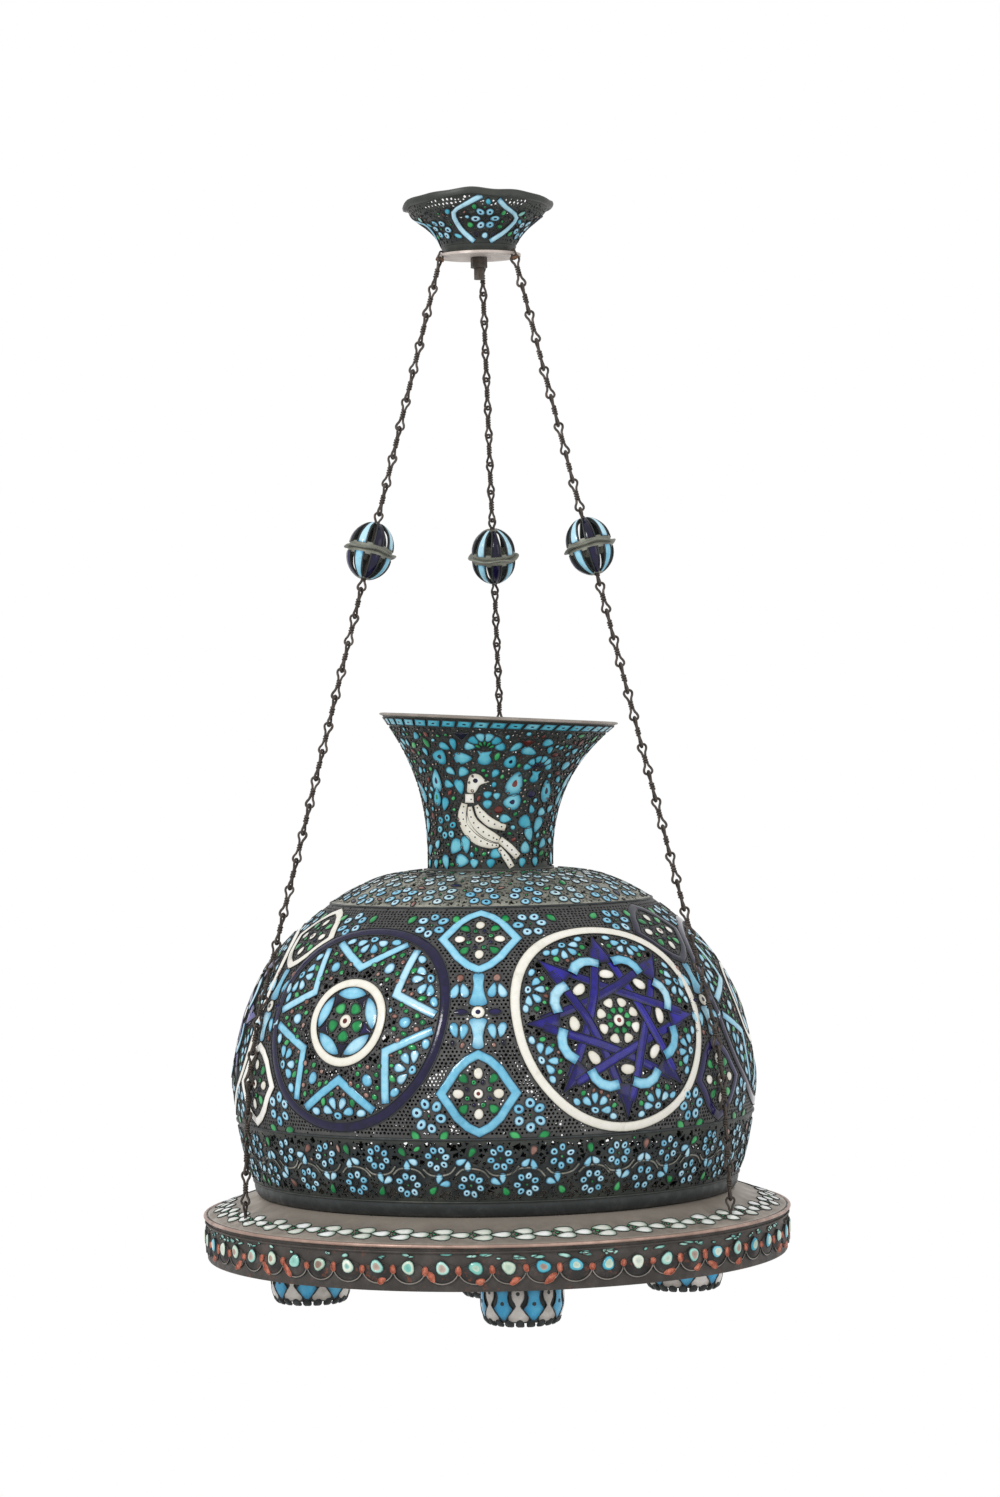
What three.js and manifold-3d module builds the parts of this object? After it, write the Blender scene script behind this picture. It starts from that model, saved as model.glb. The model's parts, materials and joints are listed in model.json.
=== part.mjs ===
// Hanging mosque lamp of pierced and enamelled copper: a flared canopy, three chains of
// double-eyed wire links, each with a ribbed ball, and a domed lamp on a round plate
// with five cups under it. Millimetres, +Z up. z = 0 is where the ceiling hook bears in the
// hanging ring, and the lamp hangs below it on the Z axis.

import * as THREE from 'three';
import { mergeVertices } from 'three/addons/utils/BufferGeometryUtils.js';
import Module from 'manifold-3d';

const wasm = await Module();
wasm.setup();

// Fits
const clearance = 0.3; // between pieces that seat on each other
const openGap = 0.85; // play in each chain where it first touches the dome
const wall = 2; // raised copper sheet with its enamel

// Canopy
const discDrop = 26; // from the hook down to the top of the disc
const discRadius = 32.6;
const discThickness = 2;
const collarRadius = 26.5; // foot of the canopy cup
const canopyRadius = 56; // mouth of the canopy cup
const canopyHeight = 38;
const canopyFlare = 1.3; // power of the flare
const canopyRimWidth = 3.6;
const canopyRimHeight = 2.4;
const discBridge = 1.1; // metal left between a chain hole and the edge of the disc
const chainHole = [3.9, 3.2]; // radial and tangential width
const ringRadius = 8; // hanging ring, at the middle of its wire
const ringWire = 4;
const rodDiameter = 8;
const rodEnd = 9; // rod below the nut
const nutAcross = 13;
const nutHeight = 8;
const washerRadius = 9;
const washerThickness = 1.6;

// Chains
const chainAngles = { back: 90, left: 210, right: 330 };
const wire = 1.8;
const linkPitch = 21.9; // from one bearing to the next, before it is fitted to the length
const upperShare = 0.375; // share of the free links' length that hangs above the ball
const eyeHalf = 2.2; // half width inside the far end of an eye
const eyeShoulder = 3.7; // half width outside
const eyeLength = 8.2; // inside an eye, from its far end to its point
const knotHalf = 2; // half width of the wrapped knot between the eyes
const hookTop = 4.4; // width of the hook over the disc
const hookFoot = 6.2;
const hookPlay = 1.2; // left in the hook under the disc
const bite = 0.4; // how far linked wires are worn into each other
const linkRoll = 45; // links lie crosswise on the dome
const drapeClearance = 0.8; // between the links and the dome

// Balls
const ballWireWidth = 2;
const ribCount = 8;
const ballRadius = 16.5;
const upperBallHeight = 21;
const lowerBallHeight = 20;
const ballShoulder = 14; // radius where the ribs turn in
const ballShoulderShare = 0.6; // of the height of a half
const ballBoss = 5; // radius of the cap that the ribs spring from
const ballCapRise = 0.8;
const ballBore = 2.2;
const ballWall = 1.6;
const ballBand = 3; // plain band under the ribs
const flangeRadius = 20.5;
const flangeThickness = 1.4;

// Plate, rising from its edge to the dome, with a band hanging down round it
const plateDrop = 766; // from the hook down to the edge of the plate
const plateRise = 14;
const plateRadius = 225;
const plateBand = 34.5;
const plateBead = 2.6;
const scallopCount = 58;
const scallopTop = 5.5; // below the edge of the plate
const scallopHeight = 23.5;
const scallopDepth = 6; // from the tip of a scallop up to where two meet
const scallopBulge = 1.6;
const plateEyeOut = 8; // from the widest part of the dome out to where the chains are made fast
const plateEyeHeight = 12;
const shankWidth = 2.4;
const shankTail = 2.5; // shank below the plate

// Cups
const cupInset = 79; // from the plate's edge in to the middle of each outer cup
const cupAngle = 11;
const cupRadius = 30.5;
const cupHeight = 80;
const cupTurn = 14; // height of the part that turns inwards
const cupMouth = 22; // radius of the lower opening
const cupHole = 26.5; // hole in the plate over each cup

// Dome and neck
const footHeight = 11;
const footWall = 3;
const footFlare = 4; // how much wider the foot is at its top
const domeFoot = 184;
const lowerSeam = { radius: 200, height: 47.5 };
const belly = { radius: 203, height: 82 };
const upperSeam = { radius: 125, height: 212.5 };
const bellyTurns = [[190, 138.5], [166, 175.5], [148.5, 193.5]]; // radius and height on the way in
const crownRadius = 85;
const crownRise = 4.5; // of the nearly flat top
const crownLip = 3; // of the crown inside the foot of the neck
const domeHeight = 237;
const medallionCount = 6;
const starRadius = 14.5;
const starWaist = 8;
const lozenge = [12, 14]; // half width and half height of the windows in the dividers
const shoulderLozenge = [10, 9.5];
const skirtWindow = [8, 10];
const crownWindow = [7, 8];
const neckFoot = 48;
const neckMouth = 88;
const neckHeight = 115;
const neckFlare = 2.6; // power of the flare
const neckWindow = [3.6, 9];
const canopySlit = [1.6, 4];
const neckRimWidth = 4.6;
const neckRimHeight = 2.4;

// Facets round each turned piece
const domeFacets = 36;
const neckFacets = 20;
const discFacets = 16;
const cupFacets = 12;

const discTop = -discDrop;
const plateEdge = -plateDrop;
const plateTop = plateEdge + plateRise;
const plateUnder = plateTop - wall;
const domeBase = plateTop + footHeight + 1.5 * clearance;
const domeTop = domeBase + domeHeight;
const chainPivotRadius = discRadius - discBridge / 2;
const plateShoulder = domeFoot + clearance;
const plateEyeRadius = Math.max(belly.radius, lowerSeam.radius) + plateEyeOut;
const plateSlope = plateRise / (plateRadius - plateShoulder);
const plateEyeSeat = plateTop - (plateEyeRadius - plateShoulder) * plateSlope;
const cupCircle = plateRadius - cupInset;

// Radius and height above the foot, up the outside of the dome
const domeOutline = [
  [domeFoot + footFlare, 0],
  [lowerSeam.radius, lowerSeam.height],
  [belly.radius, belly.height],
  ...bellyTurns,
  [upperSeam.radius, upperSeam.height],
  [crownRadius, domeHeight - crownRise],
  [neckFoot - crownLip, domeHeight],
].map(([radius, height]) => [radius, domeBase + height]);

const patina = new THREE.MeshStandardMaterial({ color: '#3b3a36', metalness: 0.7, roughness: 0.6 });
const iron = new THREE.MeshStandardMaterial({ color: '#38302a', metalness: 0.8, roughness: 0.65 });
const turquoise = new THREE.MeshStandardMaterial({ color: '#5fb6c9', metalness: 0, roughness: 0.3 });
const navy = new THREE.MeshStandardMaterial({ color: '#20245c', metalness: 0, roughness: 0.3 });

const lamp = new THREE.Group();

function addPiece(group, name, geometry, material) {
  const mesh = new THREE.Mesh(geometry, material);
  mesh.name = name;
  group.add(mesh);
  return mesh;
}

// Closed solids from three.js geometry, and back

function solidFrom(geometry) {
  const bare = geometry.clone();
  bare.deleteAttribute('normal');
  bare.deleteAttribute('uv');
  const merged = mergeVertices(bare, 1e-4);
  return new wasm.Manifold(new wasm.Mesh({
    numProp: 3,
    vertProperties: Float32Array.from(merged.attributes.position.array),
    triVerts: Uint32Array.from(merged.index.array),
  }));
}

function geometryFrom(solid) {
  const mesh = solid.getMesh();
  const geometry = new THREE.BufferGeometry();
  geometry.setAttribute('position', new THREE.Float32BufferAttribute(mesh.vertProperties, 3));
  geometry.setIndex(Array.from(mesh.triVerts));
  geometry.computeVertexNormals();
  return geometry;
}

function pierced(geometry, cutters) {
  const cut = (solid, cutter) => solid.subtract(solidFrom(cutter));
  return geometryFrom(cutters.reduce(cut, solidFrom(geometry)));
}

function joined(geometries) {
  const [first, ...others] = geometries.map(solidFrom);
  return geometryFrom(others.reduce((solid, other) => solid.add(other), first));
}

// Turned pieces. A profile is a closed loop of [radius, height], outside upwards.

function turned(profile, facets) {
  const loop = [...profile, profile[0]].map(([radius, height]) => new THREE.Vector2(radius, height));
  return new THREE.LatheGeometry(loop, facets).rotateX(Math.PI / 2);
}

function ring(inner, outer, bottom, top, facets) {
  return turned([[outer, bottom], [outer, top], [inner, top], [inner, bottom]], facets);
}

// The outline moved by a distance square to itself, to the left of its direction
function offsetOutline(outline, distance) {
  return outline.map((point, i) => {
    const before = outline[Math.max(i - 1, 0)];
    const after = outline[Math.min(i + 1, outline.length - 1)];
    const along = new THREE.Vector2(after[0] - before[0], after[1] - before[1]).normalize();
    return [point[0] - along.y * distance, point[1] + along.x * distance];
  });
}

// Sheet of even thickness under an outline; a levelled end stands flat on its neighbour
function shell(outline, facets, levelFoot, levelMouth, windows) {
  const inner = offsetOutline(outline, wall);
  const last = outline.length - 1;
  if (levelFoot) inner[0][1] = outline[0][1];
  if (levelMouth) inner[last][1] = outline[last][1];
  return openShell(outline, inner, facets, windows);
}

// Both ends of a stretch of outline moved inwards along it by half the clearance of a seam
function drawnBack(outline) {
  const points = outline.map(([radius, height]) => new THREE.Vector2(radius, height));
  const last = points.length - 1;
  points[0].add(points[1].clone().sub(points[0]).setLength(clearance / 2));
  points[last].add(points[last - 1].clone().sub(points[last]).setLength(clearance / 2));
  return points.map((point) => point.toArray());
}

// One raised sheet of the dome, from one seam of its outline to another
function domeSheet(from, to, windows) {
  const inside = offsetOutline(domeOutline, wall);
  inside[0][1] = domeOutline[0][1];
  const outer = drawnBack(domeOutline.slice(from, to + 1));
  const inner = drawnBack(inside.slice(from, to + 1));
  return openShell(outer, inner, domeFacets, windows);
}

function diamond([half, tall]) {
  return [[half, 0], [0, tall], [-half, 0], [0, -tall]];
}

function block([half, tall]) {
  return [[half, -tall], [half, tall], [-half, tall], [-half, -tall]];
}

function star(points, tip, waist) {
  return Array.from({ length: 2 * points }, (_, i) => {
    const angle = (i * Math.PI) / points;
    const radius = i % 2 ? waist : tip;
    return [radius * Math.cos(angle), radius * Math.sin(angle)];
  });
}

function anglesRound(count, first) {
  return Array.from({ length: count }, (_, i) => first + (i * 360) / count);
}

// Thick shell of revolution made of flat cells, its profiles running upwards. opening(row,
// column) gives a cell's window as [x, y] from the cell's middle, 'all' for no cell, or nothing.
// The middle of the first column faces along X.
function openShell(outer, inner, columns, opening) {
  const positions = [];
  const indices = [];
  const rows = outer.length - 1;
  const angleOf = (column) => (2 * Math.PI * (column - 0.5)) / columns;
  for (const profile of [outer, inner]) {
    for (const [radius, height] of profile) {
      for (let column = 0; column < columns; column++) {
        const angle = angleOf(column);
        positions.push(radius * Math.cos(angle), radius * Math.sin(angle), height);
      }
    }
  }
  const at = (side, row, column) => (side * (rows + 1) + row) * columns + ((column + columns) % columns);
  const pointAt = (index) => new THREE.Vector3().fromArray(positions, 3 * index);
  const outsideRows = (row) => row < 0 || row >= rows;
  const openAt = (row, column) => (outsideRows(row) ? 'all' : opening(row, (column + columns) % columns));
  const quad = (a, b, c, d) => indices.push(a, b, c, a, c, d);

  // One face of a cell with its window cut out, and the indices round the window
  const windowedFace = (side, row, column, outline) => {
    const corners = [
      at(side, row, column),
      at(side, row, column + 1),
      at(side, row + 1, column + 1),
      at(side, row + 1, column),
    ];
    const [lowLeft, lowRight, topRight, topLeft] = corners.map(pointAt);
    const lowMiddle = lowLeft.clone().lerp(lowRight, 0.5);
    const topMiddle = topLeft.clone().lerp(topRight, 0.5);
    const middle = lowMiddle.clone().lerp(topMiddle, 0.5);
    const across = lowRight.clone().sub(lowLeft).normalize();
    const up = topMiddle.sub(lowMiddle).normalize();
    const cell = [lowLeft, lowRight, topRight, topLeft].map((point) => {
      const offset = point.clone().sub(middle);
      return new THREE.Vector2(offset.dot(across), offset.dot(up));
    });
    const hole = outline.map(([x, y]) => new THREE.Vector2(x, y));
    const first = positions.length / 3;
    for (const { x, y } of hole) {
      positions.push(...middle.clone().addScaledVector(across, x).addScaledVector(up, y));
    }
    const ids = [...corners, ...hole.map((_, i) => first + i)];
    for (const [a, b, c] of THREE.ShapeUtils.triangulateShape(cell, [hole])) {
      indices.push(...(side ? [ids[a], ids[c], ids[b]] : [ids[a], ids[b], ids[c]]));
    }
    return ids.slice(4);
  };

  for (let row = 0; row < rows; row++) {
    for (let column = 0; column < columns; column++) {
      const outline = openAt(row, column);
      if (outline === 'all') continue;
      const [next, up] = [column + 1, row + 1];
      if (outline) {
        const outside = windowedFace(0, row, column, outline);
        const inside = windowedFace(1, row, column, outline);
        outside.forEach((corner, i) => {
          const k = (i + 1) % outside.length;
          quad(corner, outside[k], inside[k], inside[i]);
        });
      } else {
        quad(at(0, row, column), at(0, row, next), at(0, up, next), at(0, up, column));
        quad(at(1, row, column), at(1, up, column), at(1, up, next), at(1, row, next));
      }
      if (openAt(row - 1, column) === 'all') {
        quad(at(1, row, column), at(1, row, next), at(0, row, next), at(0, row, column));
      }
      if (openAt(row + 1, column) === 'all') {
        quad(at(0, up, column), at(0, up, next), at(1, up, next), at(1, up, column));
      }
      if (openAt(row, column - 1) === 'all') {
        quad(at(0, row, column), at(0, up, column), at(1, up, column), at(1, row, column));
      }
      if (openAt(row, column + 1) === 'all') {
        quad(at(1, row, next), at(1, up, next), at(0, up, next), at(0, row, next));
      }
    }
  }
  const geometry = new THREE.BufferGeometry();
  geometry.setAttribute('position', new THREE.Float32BufferAttribute(positions, 3));
  geometry.setIndex(indices);
  geometry.computeVertexNormals();
  return geometry;
}

// Canopy: a flared cup on a flat disc, held by a rod with a ring at its top

function canopyOutline() {
  const foot = discTop + clearance;
  return [0, 0.4, 1].map((share) => [
    collarRadius + (canopyRadius - collarRadius) * share ** canopyFlare,
    foot + canopyHeight * share,
  ]);
}

function makeCanopy() {
  const outline = canopyOutline();
  const slits = (row, column) => row === 0 && column % 2 === 0 && block(canopySlit);
  addPiece(lamp, 'canopy_cup', shell(outline, neckFacets, true, true, slits), turquoise);

  const mouth = outline[outline.length - 1][1] + clearance;
  const rimInner = canopyRadius - canopyRimWidth / 2;
  const rim = ring(rimInner, rimInner + canopyRimWidth, mouth, mouth + canopyRimHeight, neckFacets);
  addPiece(lamp, 'canopy_rim', rim, patina);

  const holeRadius = discRadius - discBridge - chainHole[0] / 2;
  const holes = Object.values(chainAngles).map((angle) => {
    const hole = new THREE.BoxGeometry(...chainHole, 3 * discThickness);
    return hole.translate(holeRadius, 0, discTop).rotateZ(THREE.MathUtils.degToRad(angle));
  });
  const bore = rodDiameter / 2 + clearance;
  const disc = ring(bore, discRadius, discTop - discThickness, discTop, discFacets);
  addPiece(lamp, 'canopy_disc', pierced(disc, holes), patina);

  const nutTop = discTop - discThickness - clearance;
  const nutBottom = nutTop - nutHeight;
  const washerBottom = discTop + clearance;
  const washer = ring(bore, washerRadius, washerBottom, washerBottom + washerThickness, 8);
  addPiece(lamp, 'canopy_washer', washer, iron);
  addPiece(lamp, 'rod_nut', ring(bore, nutAcross / 2, nutBottom, nutTop, 8), iron);

  const ringCentre = ringWire / 2 - ringRadius;
  const rodTop = ringCentre - ringRadius;
  const rodBottom = nutBottom - rodEnd;
  const loop = new THREE.TorusGeometry(ringRadius, ringWire / 2, 6, 8)
    .rotateX(Math.PI / 2)
    .translate(0, 0, ringCentre);
  const rod = new THREE.CylinderGeometry(rodDiameter / 2, rodDiameter / 2, rodTop - rodBottom, 8)
    .rotateX(Math.PI / 2)
    .translate(0, 0, (rodTop + rodBottom) / 2);
  addPiece(lamp, 'hanging_ring', joined([loop, rod]), iron);
}

// Forms cut from the thickness of the wire, lying in the plane z = 0

function flatWire(outline, holes) {
  const points = (corners) => corners.map(([x, y]) => new THREE.Vector2(x, y));
  const shape = new THREE.Shape(points(outline));
  shape.holes = holes.map((hole) => new THREE.Path(points(hole)));
  return new THREE.ExtrudeGeometry(shape, { depth: wire, bevelEnabled: false }).translate(0, 0, -wire / 2);
}

function mirrored(right) {
  return right.map(([x, y]) => [-x, y]).reverse();
}

// Wire with an eye at each end: a link when the shaft has no length

function doubleEye(inside, shaft, shaftHalf) {
  const half = inside / 2;
  const waist = shaft > 0 ? [[shaftHalf, -shaft / 2], [shaftHalf, shaft / 2]] : [[shaftHalf, 0]];
  const right = [[eyeShoulder, -half - wire], ...waist, [eyeShoulder, half + wire]];
  const eye = [[-eyeHalf, half], [eyeHalf, half], [0, half - eyeLength]];
  const farEye = eye.map(([x, y]) => [x, -y]);
  return flatWire([...right, ...mirrored(right)], [eye, farEye]);
}

// Links hanging down the Y axis from y = 0, each a quarter turn from the last. What the run
// hangs on, and what hangs on it, is another piece, and keeps a gap.
function straightRun(count, pitch, firstGap, lastGap) {
  return Array.from({ length: count }, (_, i) => {
    const top = -i * pitch + (i === 0 ? firstGap : -bite) / 2;
    const bottom = -(i + 1) * pitch - (i === count - 1 ? lastGap : -bite) / 2;
    const link = doubleEye(top - bottom, 0, knotHalf);
    return link.rotateY((i * Math.PI) / 2).translate(0, (top + bottom) / 2, 0);
  });
}

// The flat hook that goes round the edge of the canopy disc, its upper bearing at y = 0
function discHook(inside) {
  const low = -inside - wire;
  const outer = [[-hookTop / 2, wire], [-hookFoot / 2, low], [hookFoot / 2, low], [hookTop / 2, wire]];
  const topSlot = (hookTop - wire) / 2;
  const footSlot = (hookFoot - wire) / 2;
  const hole = [[topSlot, 0], [footSlot, -inside], [-footSlot, -inside], [-topSlot, 0]];
  return flatWire(outer, [hole]);
}

// Puts an upright form at a point of the plane y = 0, with its Y axis along up and its flat
// side rolled out of that plane
function placed(geometry, point, up, roll) {
  const out = new THREE.Vector3(up.z, 0, -up.x);
  const turn = THREE.MathUtils.degToRad(roll);
  const width = out.multiplyScalar(Math.cos(turn)).add(new THREE.Vector3(0, Math.sin(turn), 0));
  const basis = new THREE.Matrix4().makeBasis(width, up, width.clone().cross(up));
  return geometry.applyMatrix4(basis.setPosition(point));
}

// Links from bearing to bearing along a curved course, with a gap at each end of the run
function curvedRun(bearings, firstRoll, firstGap, lastGap) {
  const count = bearings.length - 1;
  return bearings.slice(1).map((low, i) => {
    const up = bearings[i].clone().sub(low).normalize();
    const upper = bearings[i].clone().addScaledVector(up, (i === 0 ? firstGap : -bite) / 2);
    const lower = low.clone().addScaledVector(up, (i === count - 1 ? -lastGap : bite) / 2);
    const link = doubleEye(upper.distanceTo(lower), 0, knotHalf);
    return placed(link, upper.lerp(lower, 0.5), up, firstRoll + 90 * i);
  });
}

// The chain's course in the plane y = 0: straight from the disc to the dome, round it, and
// straight again to the eye on the plate
function chainCourse() {
  const reach = (eyeShoulder + wire / 2) * Math.SQRT1_2 + drapeClearance;
  const corners = domeOutline.map(([radius, height]) => new THREE.Vector2(radius, height));
  const fine = new THREE.SplineCurve(corners).getPoints(200);
  const around = offsetOutline(fine.map((point) => point.toArray()), -reach)
    .map(([radius, height]) => new THREE.Vector3(radius, 0, height))
    .reverse();
  const top = new THREE.Vector3(chainPivotRadius, 0, discTop + clearance);
  const end = new THREE.Vector3(plateEyeRadius, 0, plateEyeSeat + plateEyeHeight);
  const lean = (from, to) => (to.x - from.x) / (from.z - to.z);
  const side = around.filter((point) => point.x > crownRadius && point.z > end.z);
  const touch = side.reduce((best, point) => (lean(top, point) > lean(top, best) ? point : best));
  const below = side.filter((point) => point.z < touch.z);
  const leave = below.reduce((best, point) => (lean(point, end) < lean(best, end) ? point : best));
  const drape = side.filter((point) => point.z <= touch.z && point.z >= leave.z);
  return { top, touch, drape: [...drape, end] };
}

// Three chains alike, each in its own turned group
function makeChains() {
  const { top, touch, drape } = chainCourse();
  const up = top.clone().sub(touch).normalize();
  const below = (point, distance) => point.clone().addScaledVector(up, -distance);

  const hookInside = discThickness + wire + hookPlay;
  const ballShaft = upperBallHeight + lowerBallHeight + flangeThickness + 4 * clearance;
  const ballWire = ballShaft + 2 * eyeLength;
  const free = top.distanceTo(touch) - hookInside - ballWire - clearance;
  const upperLength = free * upperShare;
  const lowerLength = free - upperLength;
  const upperLinks = Math.round(upperLength / linkPitch);
  const lowerLinks = Math.round(lowerLength / linkPitch);
  const wireRoll = linkRoll + 90 * upperLinks;
  const lowerRoll = wireRoll + 90;
  const drapeRoll = lowerRoll + 90 * lowerLinks;

  const start = below(top, hookInside);
  const wireTop = below(start, upperLength);
  const wireMiddle = below(wireTop, (ballWire + clearance) / 2);
  const wireLow = below(wireTop, ballWire + clearance);

  const hook = discHook(hookInside)
    .translate(0, hookInside, 0)
    .rotateY(THREE.MathUtils.degToRad(-linkRoll));
  const upperRun = joined([hook, ...straightRun(upperLinks, upperLength / upperLinks, -bite, clearance)]);
  const lowerRun = joined(straightRun(lowerLinks, lowerLength / lowerLinks, clearance, openGap));
  const wireEyes = doubleEye(ballWire, ballShaft, ballWireWidth / 2);
  placed(upperRun, start, up, linkRoll);
  placed(lowerRun, wireLow, up, lowerRoll);
  placed(wireEyes, wireMiddle, up, wireRoll);

  const course = new THREE.CurvePath();
  drape.slice(1).forEach((point, i) => course.add(new THREE.LineCurve3(drape[i], point)));
  const drapeLinks = Math.round(course.getLength() / linkPitch);
  const bearings = Array.from({ length: drapeLinks + 1 }, (_, i) => course.getPointAt(i / drapeLinks));
  const drapeRun = joined(curvedRun(bearings, drapeRoll, openGap, clearance));
  const plateEye = makePlateEye(bearings[drapeLinks], drapeRoll + 90 * drapeLinks);

  for (const [name, angle] of Object.entries(chainAngles)) {
    const group = new THREE.Group();
    group.rotation.z = THREE.MathUtils.degToRad(angle);
    lamp.add(group);
    addPiece(group, `chain_${name}_upper`, upperRun, iron);
    addPiece(group, `ball_wire_${name}`, wireEyes, iron);
    addPiece(group, `chain_${name}_lower`, lowerRun, iron);
    addPiece(group, `chain_${name}_drape`, drapeRun, iron);
    addPiece(group, `plate_eye_${name}`, plateEye, iron);
    makeBall(group, name, wireMiddle, up);
  }
}

// An eye whose shank goes down through the plate
function makePlateEye(bearing, roll) {
  const seat = bearing.z - plateEyeSeat + clearance / 2;
  const tail = seat + wall + shankTail;
  const half = shankWidth / 2;
  const right = [[half, -tail], [half, -seat], [eyeShoulder, wire]];
  const eye = flatWire([...right, ...mirrored(right)], [[[-eyeHalf, 0], [eyeHalf, 0], [0, -eyeLength]]]);
  const upright = new THREE.Vector3(0, 0, 1);
  return placed(eye, bearing.clone().addScaledVector(upright, clearance / 2), upright, roll);
}

// Ball: two halves of ribs and a flange, turning on the wire

function ballHalf(height) {
  const band = flangeThickness / 2 + clearance;
  const outer = [
    [ballRadius, band],
    [ballRadius, band + ballBand],
    [ballShoulder, band + height * ballShoulderShare],
    [ballBoss, band + height - ballCapRise],
    [ballBore, band + height],
  ];
  const inner = offsetOutline(outer, ballWall);
  inner[0] = [ballRadius - ballWall, band];
  inner[inner.length - 1] = [ballBore, band + height - ballWall];
  return openShell(outer, inner, 2 * ribCount, (row, column) => row > 0 && row < 3 && column % 2 && 'all');
}

function makeBall(group, name, centre, up) {
  const ball = new THREE.Group();
  ball.position.copy(centre);
  ball.quaternion.setFromUnitVectors(new THREE.Vector3(0, 0, 1), up);
  group.add(ball);
  addPiece(ball, `ball_${name}_upper`, ballHalf(upperBallHeight), navy);
  const half = flangeThickness / 2;
  const flange = ring(ballRadius - ballWall, flangeRadius, -half, half, 2 * ribCount);
  addPiece(ball, `ball_${name}_flange`, flange, patina);
  addPiece(ball, `ball_${name}_lower`, ballHalf(lowerBallHeight), navy).rotation.x = Math.PI;
}

// Plate: a disc whose edge slopes down to a band, with a bead and a scalloped strip round the band

function makePlate() {
  const cupCentres = anglesRound(4, cupAngle);
  const bandInner = plateRadius - wall;
  const edge = bandInner - clearance;
  const edgeTop = plateTop - (edge - plateShoulder) * plateSlope;
  const disc = turned([
    [edge, edgeTop - wall],
    [edge, edgeTop],
    [plateShoulder, plateTop],
    [cupHole, plateTop],
    [cupHole, plateUnder],
    [plateShoulder, plateUnder],
  ], domeFacets);
  const cupHoles = cupCentres.map((angle) => {
    const hole = new THREE.CylinderGeometry(cupHole, cupHole, 3 * wall, cupFacets).rotateX(Math.PI / 2);
    return hole.translate(cupCircle, 0, plateTop).rotateZ(THREE.MathUtils.degToRad(angle));
  });
  const shankHole = Math.hypot(shankWidth, wire) / 2 + clearance;
  const shankHoles = Object.values(chainAngles).map((angle) => {
    const hole = new THREE.CylinderGeometry(shankHole, shankHole, 3 * wall, 5).rotateX(Math.PI / 2);
    return hole.translate(plateEyeRadius, 0, plateEyeSeat).rotateZ(THREE.MathUtils.degToRad(angle));
  });
  addPiece(lamp, 'plate', pierced(disc, [...cupHoles, ...shankHoles]), patina);
  addPiece(lamp, 'plate_band', ring(bandInner, plateRadius, plateEdge - plateBand, plateEdge, domeFacets), patina);

  const beadInner = plateRadius + clearance;
  const bead = turned([
    [beadInner, plateEdge - plateBead],
    [beadInner + plateBead, plateEdge - plateBead / 2],
    [beadInner, plateEdge],
  ], domeFacets);
  addPiece(lamp, 'plate_bead', bead, patina);
  addPiece(lamp, 'scallop_strip', scallopStrip(beadInner), turquoise);

  const cup = cupShell();
  addPiece(lamp, 'cup_centre', cup, turquoise).position.z = plateUnder - clearance;
  cupCentres.forEach((angle, i) => {
    const turn = THREE.MathUtils.degToRad(angle);
    const mesh = addPiece(lamp, `cup_${i + 1}`, cup, turquoise);
    mesh.position.set(cupCircle * Math.cos(turn), cupCircle * Math.sin(turn), plateUnder - clearance);
  });
}

function cupShell() {
  const outline = [
    [cupMouth, -cupHeight],
    [cupRadius, cupTurn - cupHeight],
    [cupRadius, 0],
  ];
  return shell(outline, cupFacets, false, true, () => null);
}

// Band with one pointed tip to each scallop, bulging where the enamel drop sits
function scallopStrip(radius) {
  const top = plateEdge - scallopTop;
  const tip = top - scallopHeight;
  const valley = tip + scallopDepth;
  const inside = radius / Math.cos(Math.PI / scallopCount); // its flats clear the plate
  const outside = radius + wall;
  const positions = [];
  for (let i = 0; i < scallopCount; i++) {
    const junction = (2 * Math.PI * i) / scallopCount;
    const middle = junction + Math.PI / scallopCount;
    const corner = (r, angle, height) => positions.push(r * Math.cos(angle), r * Math.sin(angle), height);
    corner(outside, junction, top);
    corner(outside, junction, valley);
    corner(outside + scallopBulge, middle, tip);
    corner(inside, junction, top);
    corner(inside, junction, valley);
  }
  const indices = [];
  for (let i = 0; i < scallopCount; i++) {
    const first = 5 * i;
    const next = 5 * ((i + 1) % scallopCount);
    const [outTop, outLow, outTip, inTop, inLow] = [first, first + 1, first + 2, first + 3, first + 4];
    const [nextTop, nextLow, nextInTop, nextInLow] = [next, next + 1, next + 3, next + 4];
    indices.push(outTop, outLow, outTip, outTop, outTip, nextTop, nextTop, outTip, nextLow);
    indices.push(inTop, nextInLow, inLow, inTop, nextInTop, nextInLow);
    indices.push(outTop, nextTop, inTop, nextTop, nextInTop, inTop);
    indices.push(outLow, inLow, outTip, inLow, nextInLow, outTip, nextInLow, nextLow, outTip);
  }
  const geometry = new THREE.BufferGeometry();
  geometry.setAttribute('position', new THREE.Float32BufferAttribute(positions, 3));
  geometry.setIndex(indices);
  geometry.computeVertexNormals();
  return geometry;
}

// Dome: foot, skirt, belly, shoulder and crown, each a raised sheet butted to the next

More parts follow.
